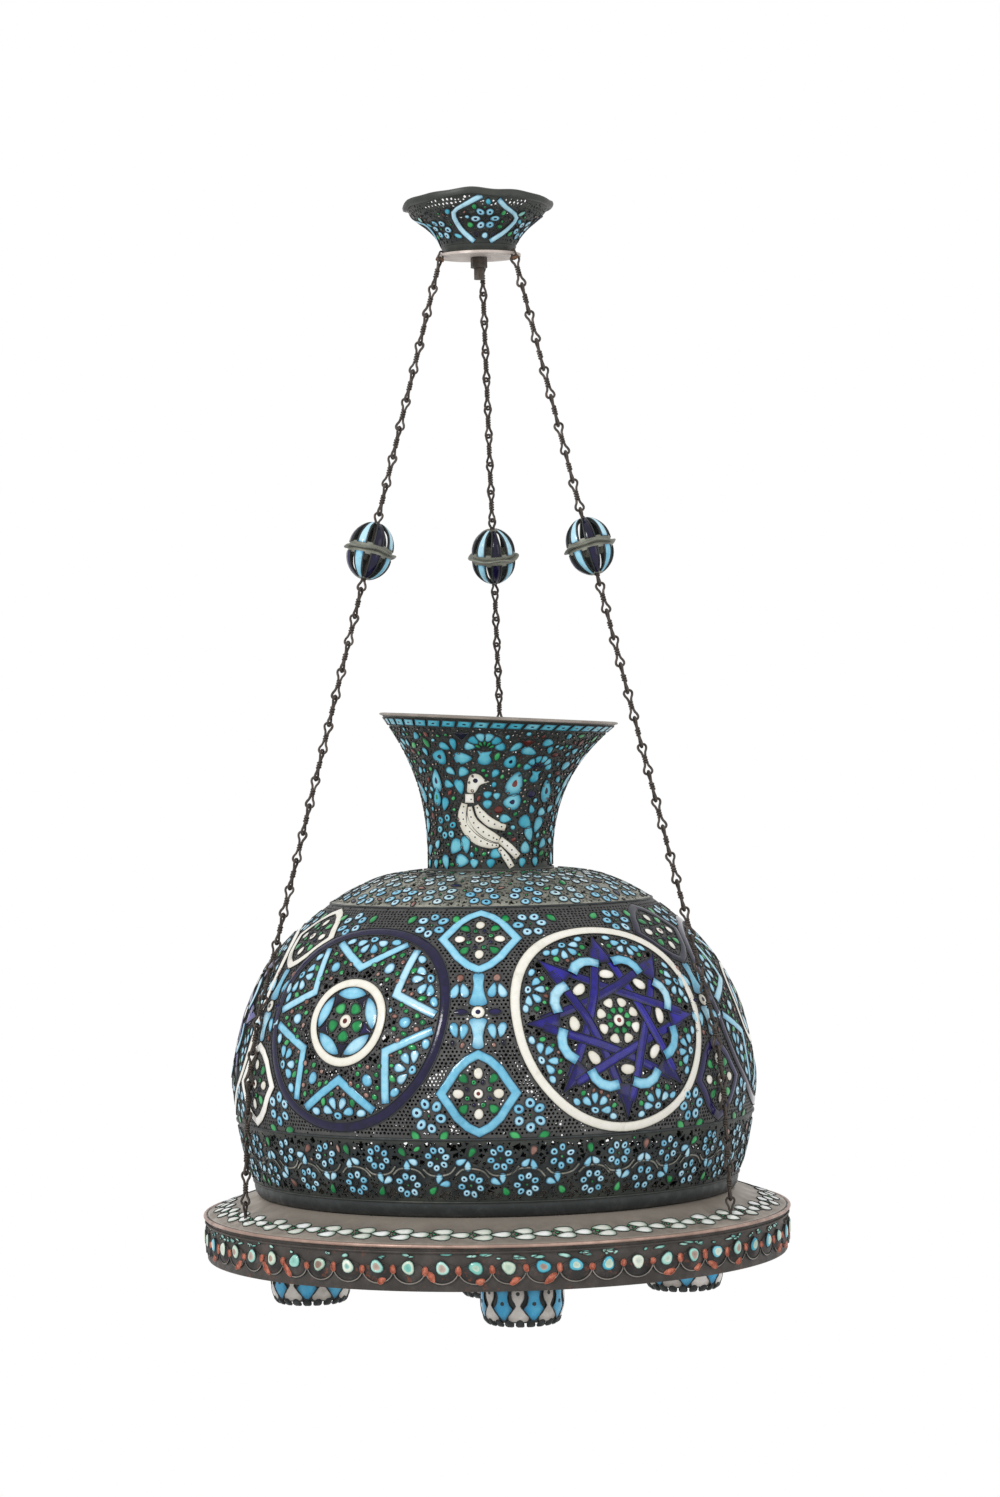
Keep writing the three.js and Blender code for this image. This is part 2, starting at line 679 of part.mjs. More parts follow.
function makeDome() {
  const footBottom = plateTop + clearance;
  const footTop = domeFoot + footFlare;
  const foot = turned([
    [domeFoot, footBottom],
    [footTop, footBottom + footHeight],
    [footTop - footWall, footBottom + footHeight],
    [domeFoot - footWall, footBottom],
  ], domeFacets);
  addPiece(lamp, 'dome_foot', foot, patina);

  const sector = domeFacets / medallionCount;
  const onMedallion = (column) => column % sector === 0;
  const onDivider = (column) => column % sector === sector / 2;
  const skirtWindows = (row, column) => column % 2 && diamond(skirtWindow);
  addPiece(lamp, 'dome_skirt', domeSheet(0, 1, skirtWindows), turquoise);

  const bellyWindows = (row, column) => {
    if (row === 1 && onMedallion(column)) return star(8, starRadius, starWaist);
    return row === 0 && onDivider(column) && diamond(lozenge);
  };
  addPiece(lamp, 'dome_belly', domeSheet(1, 3, bellyWindows), turquoise);

  const shoulderWindows = (row, column) => row === 1 && onDivider(column) && diamond(shoulderLozenge);
  addPiece(lamp, 'dome_shoulder', domeSheet(3, 6, shoulderWindows), turquoise);

  const crownWindows = (row, column) => row === 0 && column % 2 && diamond(crownWindow);
  addPiece(lamp, 'dome_crown', domeSheet(6, 8, crownWindows), turquoise);
}

// Neck: a trumpet standing on the crown

function makeNeck() {
  const foot = domeTop + clearance;
  const outline = [0, 0.36, 0.7, 1].map((share) => [
    neckFoot + (neckMouth - neckFoot) * share ** neckFlare,
    foot + neckHeight * share,
  ]);
  const windows = (row, column) => row === 0 && column % 2 && diamond(neckWindow);
  addPiece(lamp, 'neck', shell(outline, neckFacets, true, true, windows), turquoise);

  const mouth = foot + neckHeight + clearance;
  const rimInner = neckMouth - neckRimWidth / 2;
  const rim = ring(rimInner, rimInner + neckRimWidth, mouth, mouth + neckRimHeight, neckFacets);
  addPiece(lamp, 'neck_rim', rim, patina);
}

makeCanopy();
makeChains();
makePlate();
makeDome();
makeNeck();

export default lamp;
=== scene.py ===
import json
import math
import random

import bpy
import numpy as np
from mathutils import Matrix, Vector
from mathutils.geometry import delaunay_2d_cdt


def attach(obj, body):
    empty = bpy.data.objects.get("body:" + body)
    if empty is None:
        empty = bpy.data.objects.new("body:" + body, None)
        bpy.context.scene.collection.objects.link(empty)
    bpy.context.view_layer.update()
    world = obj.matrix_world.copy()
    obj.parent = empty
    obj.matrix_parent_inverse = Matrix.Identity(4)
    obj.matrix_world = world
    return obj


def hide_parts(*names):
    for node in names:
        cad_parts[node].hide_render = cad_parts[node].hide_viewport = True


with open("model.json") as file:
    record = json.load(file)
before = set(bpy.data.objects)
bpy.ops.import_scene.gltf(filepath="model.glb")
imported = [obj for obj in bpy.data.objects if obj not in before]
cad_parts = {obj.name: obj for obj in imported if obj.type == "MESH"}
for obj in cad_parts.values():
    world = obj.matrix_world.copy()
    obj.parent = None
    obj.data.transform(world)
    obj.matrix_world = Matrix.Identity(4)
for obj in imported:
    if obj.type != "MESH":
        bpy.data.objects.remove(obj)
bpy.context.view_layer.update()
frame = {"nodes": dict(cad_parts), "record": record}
mm = 0.001  # the sizes below are in millimetres
front = -90  # angle round the lamp that faces the camera

# Camera: the photograph's view, level with the neck's rim and a little to the right of the front
view = {
    "distance": 3070, "azimuth": 4.2, "height": -388, "lens": 94.9, "sensor": 36,
    "roll": -1.1, "shiftX": 0.0082, "shiftY": -0.019,
}


def makeCamera():
    turn = math.radians(view["azimuth"])
    camera = bpy.data.objects.new("camera", bpy.data.cameras.new("camera"))
    camera.data.sensor_fit = "VERTICAL"
    camera.data.sensor_height = view["sensor"]
    camera.data.lens = view["lens"]
    camera.data.shift_x = view["shiftX"]
    camera.data.shift_y = view["shiftY"]
    camera.data.clip_start = 0.05
    place = Vector((math.sin(turn), -math.cos(turn), 0)) * view["distance"] * mm
    place.z = view["height"] * mm
    look = Matrix.Rotation(turn, 4, "Z") @ Matrix.Rotation(math.pi / 2, 4, "X")
    look = look @ Matrix.Rotation(math.radians(view["roll"]), 4, "Z")
    camera.matrix_world = Matrix.Translation(place) @ look
    bpy.context.scene.collection.objects.link(camera)
    bpy.context.scene.camera = camera


makeCamera()
print("camera set")

# Studio: a pale floor well under the hanging lamp, white all round, and two soft lamps
studio = {
    "floorHeight": -1300, "floorRadius": 560, "floorColour": "#e9e8e4", "floorRoughness": 0.9,
    "ambient": 0.66, "aim": (0, 0, -0.5),
    "keyPower": 46, "keySize": 0.8, "keyAt": (-1.6, -2.3, 1.1),
    "fillPower": 14, "fillSize": 2.0, "fillAt": (2.4, -1.6, 0.2),
}


def linear(colour):
    channels = [int(colour[i:i + 2], 16) / 255 for i in (1, 3, 5)]
    return [c / 12.92 if c <= 0.04045 else ((c + 0.055) / 1.055) ** 2.4 for c in channels] + [1.0]


def setSockets(tree, node, inputs):
    for socket, value in inputs.items():
        if isinstance(value, bpy.types.NodeSocket):
            tree.links.new(value, node.inputs[socket])
        else:
            node.inputs[socket].default_value = value


# Adds a node with its settings, links and colour stops, and hands back its outputs
def addNode(tree, kind, inputs=None, stops=(), **settings):
    made = tree.nodes.new(kind)
    for name, value in settings.items():
        setattr(made, name, value)
    setSockets(tree, made, inputs or {})
    for i, (place, colour) in enumerate(stops):
        elements = made.color_ramp.elements
        element = elements[i] if i < 2 else elements.new(place)
        element.position = place
        element.color = linear(colour)
    return made.outputs


def newMaterial(name):
    material = bpy.data.materials.new(name)
    material.use_nodes = True
    tree = material.node_tree
    return material, tree, tree.nodes["Principled BSDF"]


def makeStudio():
    world = bpy.data.worlds.new("studio")
    scene = bpy.context.scene
    scene.world = world
    world.use_nodes = True
    tree = world.node_tree
    tree.nodes.clear()
    rays = addNode(tree, "ShaderNodeLightPath")
    seen = rays["Is Camera Ray"]
    for name in ("Is Glossy Ray", "Is Transmission Ray"):
        seen = addNode(tree, "ShaderNodeMath", {0: seen, 1: rays[name]}, operation="MAXIMUM")[0]
    level = addNode(tree, "ShaderNodeMapRange", {"Value": seen, "To Min": studio["ambient"]})[0]
    light = addNode(tree, "ShaderNodeBackground", {"Color": (1, 1, 1, 1), "Strength": level})[0]
    addNode(tree, "ShaderNodeOutputWorld", {"Surface": light})

    scene.view_settings.view_transform = "Standard"
    for name in ("key", "fill"):
        lamp = bpy.data.lights.new(name, "AREA")
        lamp.energy = studio[name + "Power"]
        lamp.size = studio[name + "Size"]
        holder = bpy.data.objects.new(name, lamp)
        holder.location = studio[name + "At"]
        aim = Vector(studio["aim"]) - holder.location
        holder.rotation_euler = aim.to_track_quat("-Z", "Y").to_euler()
        scene.collection.objects.link(holder)

    floor = bpy.data.meshes.new("floor")
    radius, height = studio["floorRadius"] * mm, studio["floorHeight"] * mm
    turns = [2 * math.pi * i / 64 for i in range(64)]
    edge = [(radius * math.cos(t), radius * math.sin(t), height) for t in turns]
    floor.from_pydata(edge, [], [list(range(64))])
    floorObject = bpy.data.objects.new("floor", floor)
    scene.collection.objects.link(floorObject)
    paint, tree, shader = newMaterial("painted_floor")
    setSockets(tree, shader, {"Base Color": linear(studio["floorColour"]), "Roughness": studio["floorRoughness"]})
    floor.materials.append(paint)


makeStudio()
print("studio set")


# Noise is in object space, in metres, so a size in millimetres gives the scale 1000 / size
def perMetre(size):
    return 1000 / size


# Vitreous enamel: ground glass fired on copper inside raised wires. It is glossy and a little
# wavy like orange peel, its tone differs from cell to cell, and old cells are scratched and stained.
# Each has its deep, middle and pale tone, the painted shade in the crease along the wire, and its grime.
enamels = {
    "lightBlue": ("#52a8cc", "#8dd1ea", "#bce6f5", "#3b86ad", "#4d7682"),
    "paleBlue": ("#8fbccb", "#b5d9e2", "#dceef2", "#5f97a8", "#7f8f8e"),
    "turquoise": ("#2f9bb5", "#4fb6cc", "#83cfdf", "#1d7f9c", "#2a5a68"),
    "white": ("#dedaca", "#efece1", "#faf8f2", "#cfc8b4", "#a8a394"),
    "navy": ("#0b0a1c", "#14112f", "#221d50", "#0c0a1c", "#302c38"),
    "royal": ("#0e0b30", "#1b1566", "#2a23a0", "#0f0b2c", "#353140"),
    "green": ("#0e6038", "#1c924c", "#4bb86c", "#08452f", "#21483a"),
    "red": ("#5a372f", "#84574b", "#ad897e", "#47281f", "#4c332c"),
    "darkRed": ("#3d1512", "#5f231c", "#84413a", "#33110e", "#3f2420"),
    "tan": ("#8a6e61", "#b39688", "#d6c4b8", "#6b5348", "#6f5c52"),
    "verdigris": ("#4a9c98", "#86cdbf", "#bfe8dc", "#3a7f7c", "#4f6f69"),
    "straw": ("#9fb8a4", "#cfe0cc", "#eef3e4", "#7fae9f", "#6d8a76"),
    # the greenish grey along the wire of the white sprigs is painted shadow
    "wornWhite": ("#d6dbcd", "#eeefe6", "#ffffff", "#8fa892", "#a0a297"),
    "dullWhite": ("#aaa49d", "#d6d0c9", "#ebe6e0", "#857d75", "#7d6f66"),
    "cupBlue": ("#1c86b8", "#2fabe2", "#66c6ec", "#155f86", "#2f6275"),
}
enamelFinish = {
    "roughness": (0.12, 0.34), "ior": 1.5, "specular": 0.32, "bump": 0.16, "bumpHeight": 0.4,
    # size in millimetres, detail and roughness of each layer of noise
    "noise": {"blotch": (5, 4, 0.5), "stain": (14, 6, 0.7), "grain": (0.7, 2, 0.5), "peel": (2.2, 3, 0.5)},
}


def vitreousEnamel(name, tones):
    deep, body, pale, wireCreaseShade, grime = tones
    finish = enamelFinish
    material, tree, shader = newMaterial("vitreous_enamel_" + name)
    place = addNode(tree, "ShaderNodeTexCoord")["Object"]
    geometry = addNode(tree, "ShaderNodeNewGeometry")
    noise = {layer: addNode(tree, "ShaderNodeTexNoise", {"Vector": place, "Scale": perMetre(size), "Detail": detail,
                                                         "Roughness": rough})[0]
             for layer, (size, detail, rough) in finish["noise"].items()}
    tone = addNode(tree, "ShaderNodeMath", {0: geometry["Random Per Island"], 1: noise["blotch"]}, operation="ADD")[0]
    tone = addNode(tree, "ShaderNodeMath", {0: tone, 1: 0.62}, operation="MULTIPLY")[0]
    glass = addNode(tree, "ShaderNodeValToRGB", {"Fac": tone}, [(0.1, deep), (0.9, pale), (0.5, body)])[0]
    # Painted shade: where the glass is hollow beside the wire, it takes the darker crease tone
    edge = addNode(tree, "ShaderNodeMapRange", {"Value": geometry["Pointiness"], "From Min": 0.495, "From Max": 0.44,
                                                "To Max": 0.85})[0]
    glass = addNode(tree, "ShaderNodeMix", {"Factor": edge, 6: glass, 7: linear(wireCreaseShade)}, data_type="RGBA")[2]
    stains = addNode(tree, "ShaderNodeMapRange", {"Value": noise["stain"], "From Min": 0.56, "From Max": 0.78,
                                                  "To Max": 0.55})[0]
    pits = addNode(tree, "ShaderNodeMapRange", {"Value": noise["grain"], "From Min": 0.66, "From Max": 0.74,
                                                "To Max": 0.6})[0]
    dirty = addNode(tree, "ShaderNodeMath", {0: stains, 1: pits}, operation="MAXIMUM")[0]
    colour = addNode(tree, "ShaderNodeMix", {"Factor": dirty, 6: glass, 7: linear(grime)}, data_type="RGBA")[2]
    low, high = finish["roughness"]
    gloss = addNode(tree, "ShaderNodeMapRange", {"Value": dirty, "To Min": low, "To Max": high})[0]
    bump = addNode(tree, "ShaderNodeBump", {"Height": noise["peel"], "Strength": finish["bump"],
                                            "Distance": finish["bumpHeight"] * mm})[0]
    setSockets(tree, shader, {"Base Color": colour, "Roughness": gloss, "IOR": finish["ior"],
                              "Specular IOR Level": finish["specular"], "Normal": bump})
    return material


# Metals. Patina is a thin oxide skin: dull and cloudy where it lies, brighter where hands and
# cloths have worn it off. Each has its deep, middle and pale tone and its rust; metallic; roughness
# where worn and where dull; size of the clouds and the grain; bump; share without rust.
metals = {
    # raised, pierced copper sheet, dark from age
    "sheet": (("#1b1c1c", "#2c2d2d", "#585957", "#4c4036"), 0.35, (0.5, 0.75), 16, 1.1, 0.35, 0.62),
    # the wires round the enamel cells, drawn copper, blackened beside the glass
    "rim": (("#15181a", "#202426", "#3c4040", "#41362e"), 0.4, (0.4, 0.6), 9, 0.9, 0.25, 0.66),
    # crown, where the oxide is rubbed off to a grey-tan
    "wornSheet": (("#464841", "#77786f", "#aeada1", "#9a7d6a"), 0.35, (0.45, 0.7), 11, 1.0, 0.35, 0.58),
    # turned and planished base, foot, rims and disc
    "plate": (("#59514a", "#827970", "#b0a69a", "#94705c"), 0.4, (0.42, 0.62), 26, 1.4, 0.25, 0.6),
    "foot": (("#14181a", "#222829", "#43453f", "#5b463a"), 0.45, (0.4, 0.6), 22, 1.2, 0.25, 0.68),
    "band": (("#1a1918", "#2f2c2a", "#524d49", "#8a4a32"), 0.35, (0.5, 0.72), 15, 1.0, 0.4, 0.57),
    "bead": (("#5a4a43", "#94796d", "#c2a597", "#9c5e48"), 0.5, (0.35, 0.5), 18, 1.2, 0.2, 0.6),
    "flange": (("#3e403a", "#62655c", "#8a8c80", "#6f5a4a"), 0.4, (0.45, 0.62), 7, 0.9, 0.3, 0.64),
    "neckRim": (("#4a453f", "#78716a", "#a0968c", "#8a6a58"), 0.4, (0.4, 0.6), 12, 1.0, 0.3, 0.58),
    "disc": (("#857870", "#a89b93", "#cdc2bb", "#94705e"), 0.35, (0.45, 0.65), 10, 1.0, 0.2, 0.62),
    # soft iron wire and forged fittings, brown-black with rust, and bare copper rubbed by hands
    "iron": (("#191513", "#2e2824", "#524a44", "#6a3f28"), 0.5, (0.45, 0.7), 6, 0.8, 0.35, 0.56),
    "rustyIron": (("#2c201a", "#4d372a", "#735843", "#6e3f26"), 0.3, (0.55, 0.8), 5, 0.8, 0.4, 0.5),
    "wornCopper": (("#7a3c2c", "#b0604a", "#d08a72", "#6b4034"), 0.5, (0.4, 0.6), 4, 0.8, 0.4, 0.55),
}
hammerMarks = 7  # times the size of the grain


def patinatedMetal(name, tones, metallic, roughness, cloudSize, grainSize, bumpStrength, clean):
    deep, body, pale, rust = tones
    material, tree, shader = newMaterial("patinated_" + name)
    place = addNode(tree, "ShaderNodeTexCoord")["Object"]
    pointed = addNode(tree, "ShaderNodeNewGeometry")["Pointiness"]
    layers = ((cloudSize, 6, 0.65), (cloudSize * 0.6, 8, 0.75), (grainSize, 4, 0.5), (grainSize * hammerMarks, 2, 0.5))
    cloud, rusty, grain, hammer = [
        addNode(tree, "ShaderNodeTexNoise", {"Vector": place, "Scale": perMetre(size), "Detail": detail,
                                             "Roughness": rough})[0] for size, detail, rough in layers]
    skin = addNode(tree, "ShaderNodeValToRGB", {"Fac": cloud}, [(0.3, deep), (0.72, pale), (0.5, body)])[0]
    spread = addNode(tree, "ShaderNodeMapRange", {"Value": rusty, "From Min": clean, "From Max": clean + 0.1,
                                                  "To Max": 0.85})[0]
    colour = addNode(tree, "ShaderNodeMix", {"Factor": spread, 6: skin, 7: linear(rust)}, data_type="RGBA")[2]
    edge = addNode(tree, "ShaderNodeMapRange", {"Value": pointed, "From Min": 0.51, "From Max": 0.57,
                                                "To Max": 0.6})[0]
    colour = addNode(tree, "ShaderNodeMix", {"Factor": edge, 6: colour, 7: linear(pale)}, data_type="RGBA")[2]
    low, high = roughness
    gloss = addNode(tree, "ShaderNodeMapRange", {"Value": cloud, "From Min": 0.3, "From Max": 0.7, "To Min": high,
                                                 "To Max": low})[0]
    height = addNode(tree, "ShaderNodeMath", {0: grain, 1: hammer}, operation="ADD")[0]
    bump = addNode(tree, "ShaderNodeBump", {"Height": height, "Strength": bumpStrength, "Distance": 0.5 * mm})[0]
    setSockets(tree, shader, {"Base Color": colour, "Roughness": gloss, "Metallic": metallic, "Normal": bump})
    return material


looks = {name: vitreousEnamel(name, tones) for name, tones in enamels.items()}
looks.update({name: patinatedMetal(name, *finish) for name, finish in metals.items()})
print("materials made")


# A draft gathers the points and faces of one piece before it becomes a mesh

def newDraft():
    return {"points": [], "faces": [], "slots": [], "looks": [], "count": 0}


def lookSlot(draft, look):
    if look not in draft["looks"]:
        draft["looks"].append(look)
    return draft["looks"].index(look)


def addPoints(draft, points):
    first = draft["count"]
    draft["points"].append(points)
    draft["count"] += len(points)
    return first


def addFace(draft, corners, slot):
    draft["faces"].append(corners)
    draft["slots"].append(slot)


# Four-sided faces between rows of points, each row with its own look's slot
def addWeb(draft, first, rows, columns, slots, closedRows=True, closedColumns=True):
    for row in range(rows if closedRows else rows - 1):
        low, high = first + row * columns, first + (row + 1) % rows * columns
        for i in range(columns if closedColumns else columns - 1):
            k = (i + 1) % columns
            addFace(draft, (low + i, low + k, high + k, high + i), slots[row])


# Closed rings of points joined one to the next, the last closed by a fan to a middle point
def addRings(draft, rings, strips, middle):
    count = len(rings[0])
    first = addPoints(draft, np.concatenate(rings) * mm)
    slots = [lookSlot(draft, look) for look in strips]
    addWeb(draft, first, len(rings), count, slots, closedRows=False)
    top = first + (len(rings) - 1) * count
    centre = addPoints(draft, np.array([middle]) * mm)
    for i in range(count):
        addFace(draft, (top + i, top + (i + 1) % count, centre), slots[-1])
    addFace(draft, tuple(first + i for i in reversed(range(count))), slots[0])


sharpAngle = 38  # edges sharper than this stay crisp


def makeObject(name, draft, body, replaced=(), place=None):
    points = np.concatenate(draft["points"])
    if place is not None:
        points = points @ np.array(place.to_3x3()).T + np.array(place.translation)
    mesh = bpy.data.meshes.new(name)
    mesh.from_pydata(points.tolist(), [], draft["faces"])
    for look in draft["looks"]:
        mesh.materials.append(looks[look])
    mesh.polygons.foreach_set("material_index", draft["slots"])
    mesh.polygons.foreach_set("use_smooth", [True] * len(mesh.polygons))
    mesh.set_sharp_from_angle(angle=math.radians(sharpAngle))
    mesh.update()
    made = bpy.data.objects.new(name, mesh)
    bpy.context.scene.collection.objects.link(made)
    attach(made, body)
    if replaced:
        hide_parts(*replaced)
    print(name, len(mesh.polygons), "faces")


# Line through corners without kinks; a closed one has its last corner joined to its first
def smoothLine(corners, parts=14, closed=False):
    points = np.array(corners, float)
    if closed:
        padded = np.vstack([points[-1:], points, points[:2]])
    else:
        padded = np.vstack([2 * points[0] - points[1], points, 2 * points[-1] - points[-2]])
    line = []
    for i in range(1, len(padded) - 2):
        before, start, end, after = padded[i - 1:i + 3]
        square, cube = 2 * before - 5 * start + 4 * end - after, 3 * start - before - 3 * end + after
        for t in np.linspace(0, 1, parts, endpoint=False):
            line.append(0.5 * (2 * start + (end - before) * t + square * t ** 2 + cube * t ** 3))
    if not closed:
        line.append(padded[-2])
    return np.array(line)


# Turned surfaces. A profile of (radius, height) runs upwards outside, so its left side is the
# inside. A warp gives how far a point is bent across and up from its place.

def turnedSurface(profile, warp=None):
    line = smoothLine(profile)
    along = np.concatenate([[0], np.cumsum(np.hypot(*np.diff(line, axis=0).T))])
    tangent = np.gradient(line, along, axis=0)
    tangent /= np.linalg.norm(tangent, axis=1)[:, None]
    return {"along": along, "radius": line[:, 0], "height": line[:, 1], "outR": tangent[:, 1],
            "outZ": -tangent[:, 0], "length": along[-1], "warp": warp}


def radiusAt(surface, along):
    return np.interp(along, surface["along"], surface["radius"])


def alongAt(surface, height):
    order = np.argsort(surface["height"])
    return float(np.interp(height, surface["height"][order], surface["along"][order]))


# Points on a surface: angle in radians, distance along the profile, lift off it
def onSurface(surface, angle, along, lift):
    angle, along = np.broadcast_arrays(np.asarray(angle, float), np.asarray(along, float))
    line = surface["along"]
    radius = np.interp(along, line, surface["radius"]) + lift * np.interp(along, line, surface["outR"])
    height = np.interp(along, line, surface["height"]) + lift * np.interp(along, line, surface["outZ"])
    x, y = radius * np.cos(angle), radius * np.sin(angle)
    if surface["warp"]:
        across, up = surface["warp"](x, y, height)
        x, height = x + across, height + up
    return np.stack([x, y, height], axis=-1)


# A chart is a flat drawing place on a surface: x runs to the right seen from outside, y upwards
def chartAt(surface, angle, along, turn=0.0):
    return {"surface": surface, "angle": math.radians(angle), "along": along, "turn": math.radians(turn)}


def fromChart(chart, xy):
    xy = np.atleast_2d(np.asarray(xy, float))
    c, s = math.cos(chart["turn"]), math.sin(chart["turn"])
    along = chart["along"] + xy[:, 0] * s + xy[:, 1] * c
    across = xy[:, 0] * c - xy[:, 1] * s
    return chart["angle"] + across / radiusAt(chart["surface"], along), along


def drawn(chart, xy, lift):
    angle, along = fromChart(chart, xy)
    return onSurface(chart["surface"], angle, along, lift)


def moved(chart, x, y, turn=0.0):
    angle, along = fromChart(chart, [(x, y)])
    return {"surface": chart["surface"], "angle": float(angle[0]), "along": float(along[0]),
            "turn": chart["turn"] + math.radians(turn)}


# The chart at a distance from another's middle, with y pointing away from it
def outward(chart, angle, radius):
    turn = math.radians(angle)
    return moved(chart, radius * math.cos(turn), radius * math.sin(turn), angle - 90)


# Where enamel already lies, kept in cubes so that a near one is found quickly
cubeSize = 5.0


def addCover(cover, points):
    for point in points:
        key = tuple(int(math.floor(c / cubeSize)) for c in point)
        cover.setdefault(key, []).append(tuple(point))


def roomAt(cover, point):
    x, y, z = point
    keys = [int(math.floor(c / cubeSize)) for c in point]
    best = cubeSize ** 2
    for i in (-1, 0, 1):
        for j in (-1, 0, 1):
            for k in (-1, 0, 1):
                for a, b, c in cover.get((keys[0] + i, keys[1] + j, keys[2] + k), ()):
                    best = min(best, (a - x) ** 2 + (b - y) ** 2 + (c - z) ** 2)
    return math.sqrt(best)


# Turned metal: a closed loop of (radius, height), up the outside and down the inside
def addTurned(draft, loop, look, facets=180, warp=None):
    loop = np.array(loop, float)
    turns = np.arange(facets) * 2 * math.pi / facets
    x, y = loop[:, :1] * np.cos(turns), loop[:, :1] * np.sin(turns)
    z = np.broadcast_to(loop[:, 1:], x.shape)
    if warp:
        across, up = warp(x, y, z)
        x, z = x + across, z + up
    first = addPoints(draft, np.stack([x, y, z], axis=-1).reshape(-1, 3) * mm)
    addWeb(draft, first, len(loop), facets, [lookSlot(draft, look)] * len(loop))


def roundWire(radius, height, thick, sides=10):
    turns = [2 * math.pi * i / sides for i in range(sides)]
    return [(radius + thick * math.cos(t), height + thick * math.sin(t)) for t in turns]


# Wire swept along a course of points, with its ends closed
def addWire(draft, course, radius, look="iron", sides=6, closed=False):
    course = np.asarray(course, float)
    if closed:
        along = np.roll(course, -1, axis=0) - np.roll(course, 1, axis=0)
    else:
        along = np.gradient(course, axis=0)
    along /= np.linalg.norm(along, axis=1)[:, None]
    side = np.cross(along[0], (0.31, 0.22, 0.93))  # any direction that no wire here follows
    turns = np.arange(sides) * 2 * math.pi / sides
    rings = []
    for point, tangent in zip(course, along):
        side = side - tangent * side.dot(tangent)
        side /= np.linalg.norm(side)
        other = np.cross(tangent, side)
        rings.append(point + radius * (np.cos(turns)[:, None] * side + np.sin(turns)[:, None] * other))
    count = len(rings)
    first = addPoints(draft, np.concatenate(rings) * mm)
    slot = lookSlot(draft, look)
    addWeb(draft, first, count, sides, [slot] * count, closedRows=closed)
    if not closed:
        addFace(draft, tuple(first + i for i in reversed(range(sides))), slot)
        addFace(draft, tuple(first + (count - 1) * sides + i for i in range(sides)), slot)


# Outlines, counter-clockwise round their middle

def oval(halfWidth, halfHeight, sides=12):
    turns = [2 * math.pi * i / sides for i in range(sides)]
    return np.array([(halfWidth * math.cos(t), halfHeight * math.sin(t)) for t in turns])


def leaf(halfWidth, halfHeight, sides=12):  # pointed at both ends
    x, y = oval(1, 1, sides).T
    return np.stack([halfWidth * x * abs(x) ** 0.45, halfHeight * y], axis=1)


def drop(halfWidth, halfHeight, sides=14):  # wide at its foot
    x, y = oval(1, 1, sides).T
    return np.stack([halfWidth * x * (1 - 0.4 * y), halfHeight * y], axis=1)


def petal(halfWidth, halfHeight, sides=12):  # wide at its top
    return drop(halfWidth, halfHeight, sides)[::-1] * (1, -1)


def mirrored(right, parts=3):  # from the foot up the right side; the left side is its mirror
    left = [(-x, y) for x, y in right[::-1] if x]
    return smoothLine(right + left, parts, closed=True)


def polar(radius, angle):
    turn = math.radians(angle)
    return (radius * math.cos(turn), radius * math.sin(turn))


def circle(radius, count=72):
    return [polar(radius, 360 * i / count) for i in range(count)]


# Uneven like a hand-cut cell
def roughened(outline, amount, dice):
    phase, second = dice.uniform(0, 6.28), dice.uniform(0, 6.28)
    turns = np.arctan2(outline[:, 1], outline[:, 0])
    grown = 1 + amount * (np.sin(2 * turns + phase) + 0.7 * np.sin(3 * turns + second))
    return outline * grown[:, None]


def shrunk(outline, share):
    middle = outline.mean(axis=0)
    return middle + (outline - middle) * share


def inset(outline, distance):
    along = np.roll(outline, -1, axis=0) - np.roll(outline, 1, axis=0)
    along /= np.maximum(np.linalg.norm(along, axis=1), 1e-6)[:, None]
    middle = outline.mean(axis=0)
    pulled = outline + np.stack([-along[:, 1], along[:, 0]], axis=1) * distance
    reach = np.linalg.norm(outline - middle, axis=1)[:, None]
    least = middle + (outline - middle) * np.clip(1 - distance / np.maximum(reach, 1e-6), 0.12, 1)
    tooFar = np.linalg.norm(pulled - middle, axis=1) > reach[:, 0]
    pulled[tooFar] = least[tooFar]
    return pulled


def subdivided(path, step, closed):
    path = [np.asarray(point, float) for point in path]
    ends = path[1:] + path[:1] if closed else path[1:]
    line = []
    for start, end in zip(path, ends):
        parts = max(1, int(math.ceil(np.linalg.norm(end - start) / step)))
        line += [start + (end - start) * i / parts for i in range(parts)]
    if not closed:
        line.append(path[-1])
    return np.array(line)


# Enamel cells: a raised wire round a pool of glass
cloison = {"wire": 0.45, "height": 0.9, "glass": 0.45, "dome": 0.5, "sink": 0.3}


def addCell(zone, chart, outline, look, dot=None, dotShare=0.4, wire=None, dome=None, lift=0.0, rim="rim"):
    wire = cloison["wire"] if wire is None else wire
    dome = cloison["dome"] if dome is None else dome
    outline = np.asarray(outline, float)
    top, glass = cloison["height"] + lift, cloison["glass"] + lift
    pool = inset(outline, wire + 0.08)
    steps = [(outline, -cloison["sink"]), (outline, top - 0.12), (inset(outline, 0.3 * wire), top),
             (inset(outline, wire), top - 0.08), (pool, glass)]
    strips = [rim] * 4
    if dot:
        steps += [(shrunk(pool, (1 + dotShare) / 2), glass + 0.8 * dome), (shrunk(pool, dotShare), glass + dome),
                  (shrunk(pool, dotShare * 0.9), glass + 0.9 * dome)]
        strips += [look, look, dot, dot]
    else:
        steps.append((shrunk(pool, 0.62), glass + 0.8 * dome))
        strips += [look, look]
    middle = [outline.mean(axis=0)]
    addRings(zone["draft"], [drawn(chart, line, height) for line, height in steps], strips,
             drawn(chart, middle, glass + dome)[0])
    for line in (outline, shrunk(outline, 0.5), middle):
        addCover(zone["cover"], drawn(chart, line, 0))


# A cell with an uneven outline; its size is half its width, half its height and perhaps its corners
def addCut(zone, chart, form, size, look, rough=0.04, **finish):
    addCell(zone, chart, roughened(form(*size), rough, zone["dice"]), look, **finish)


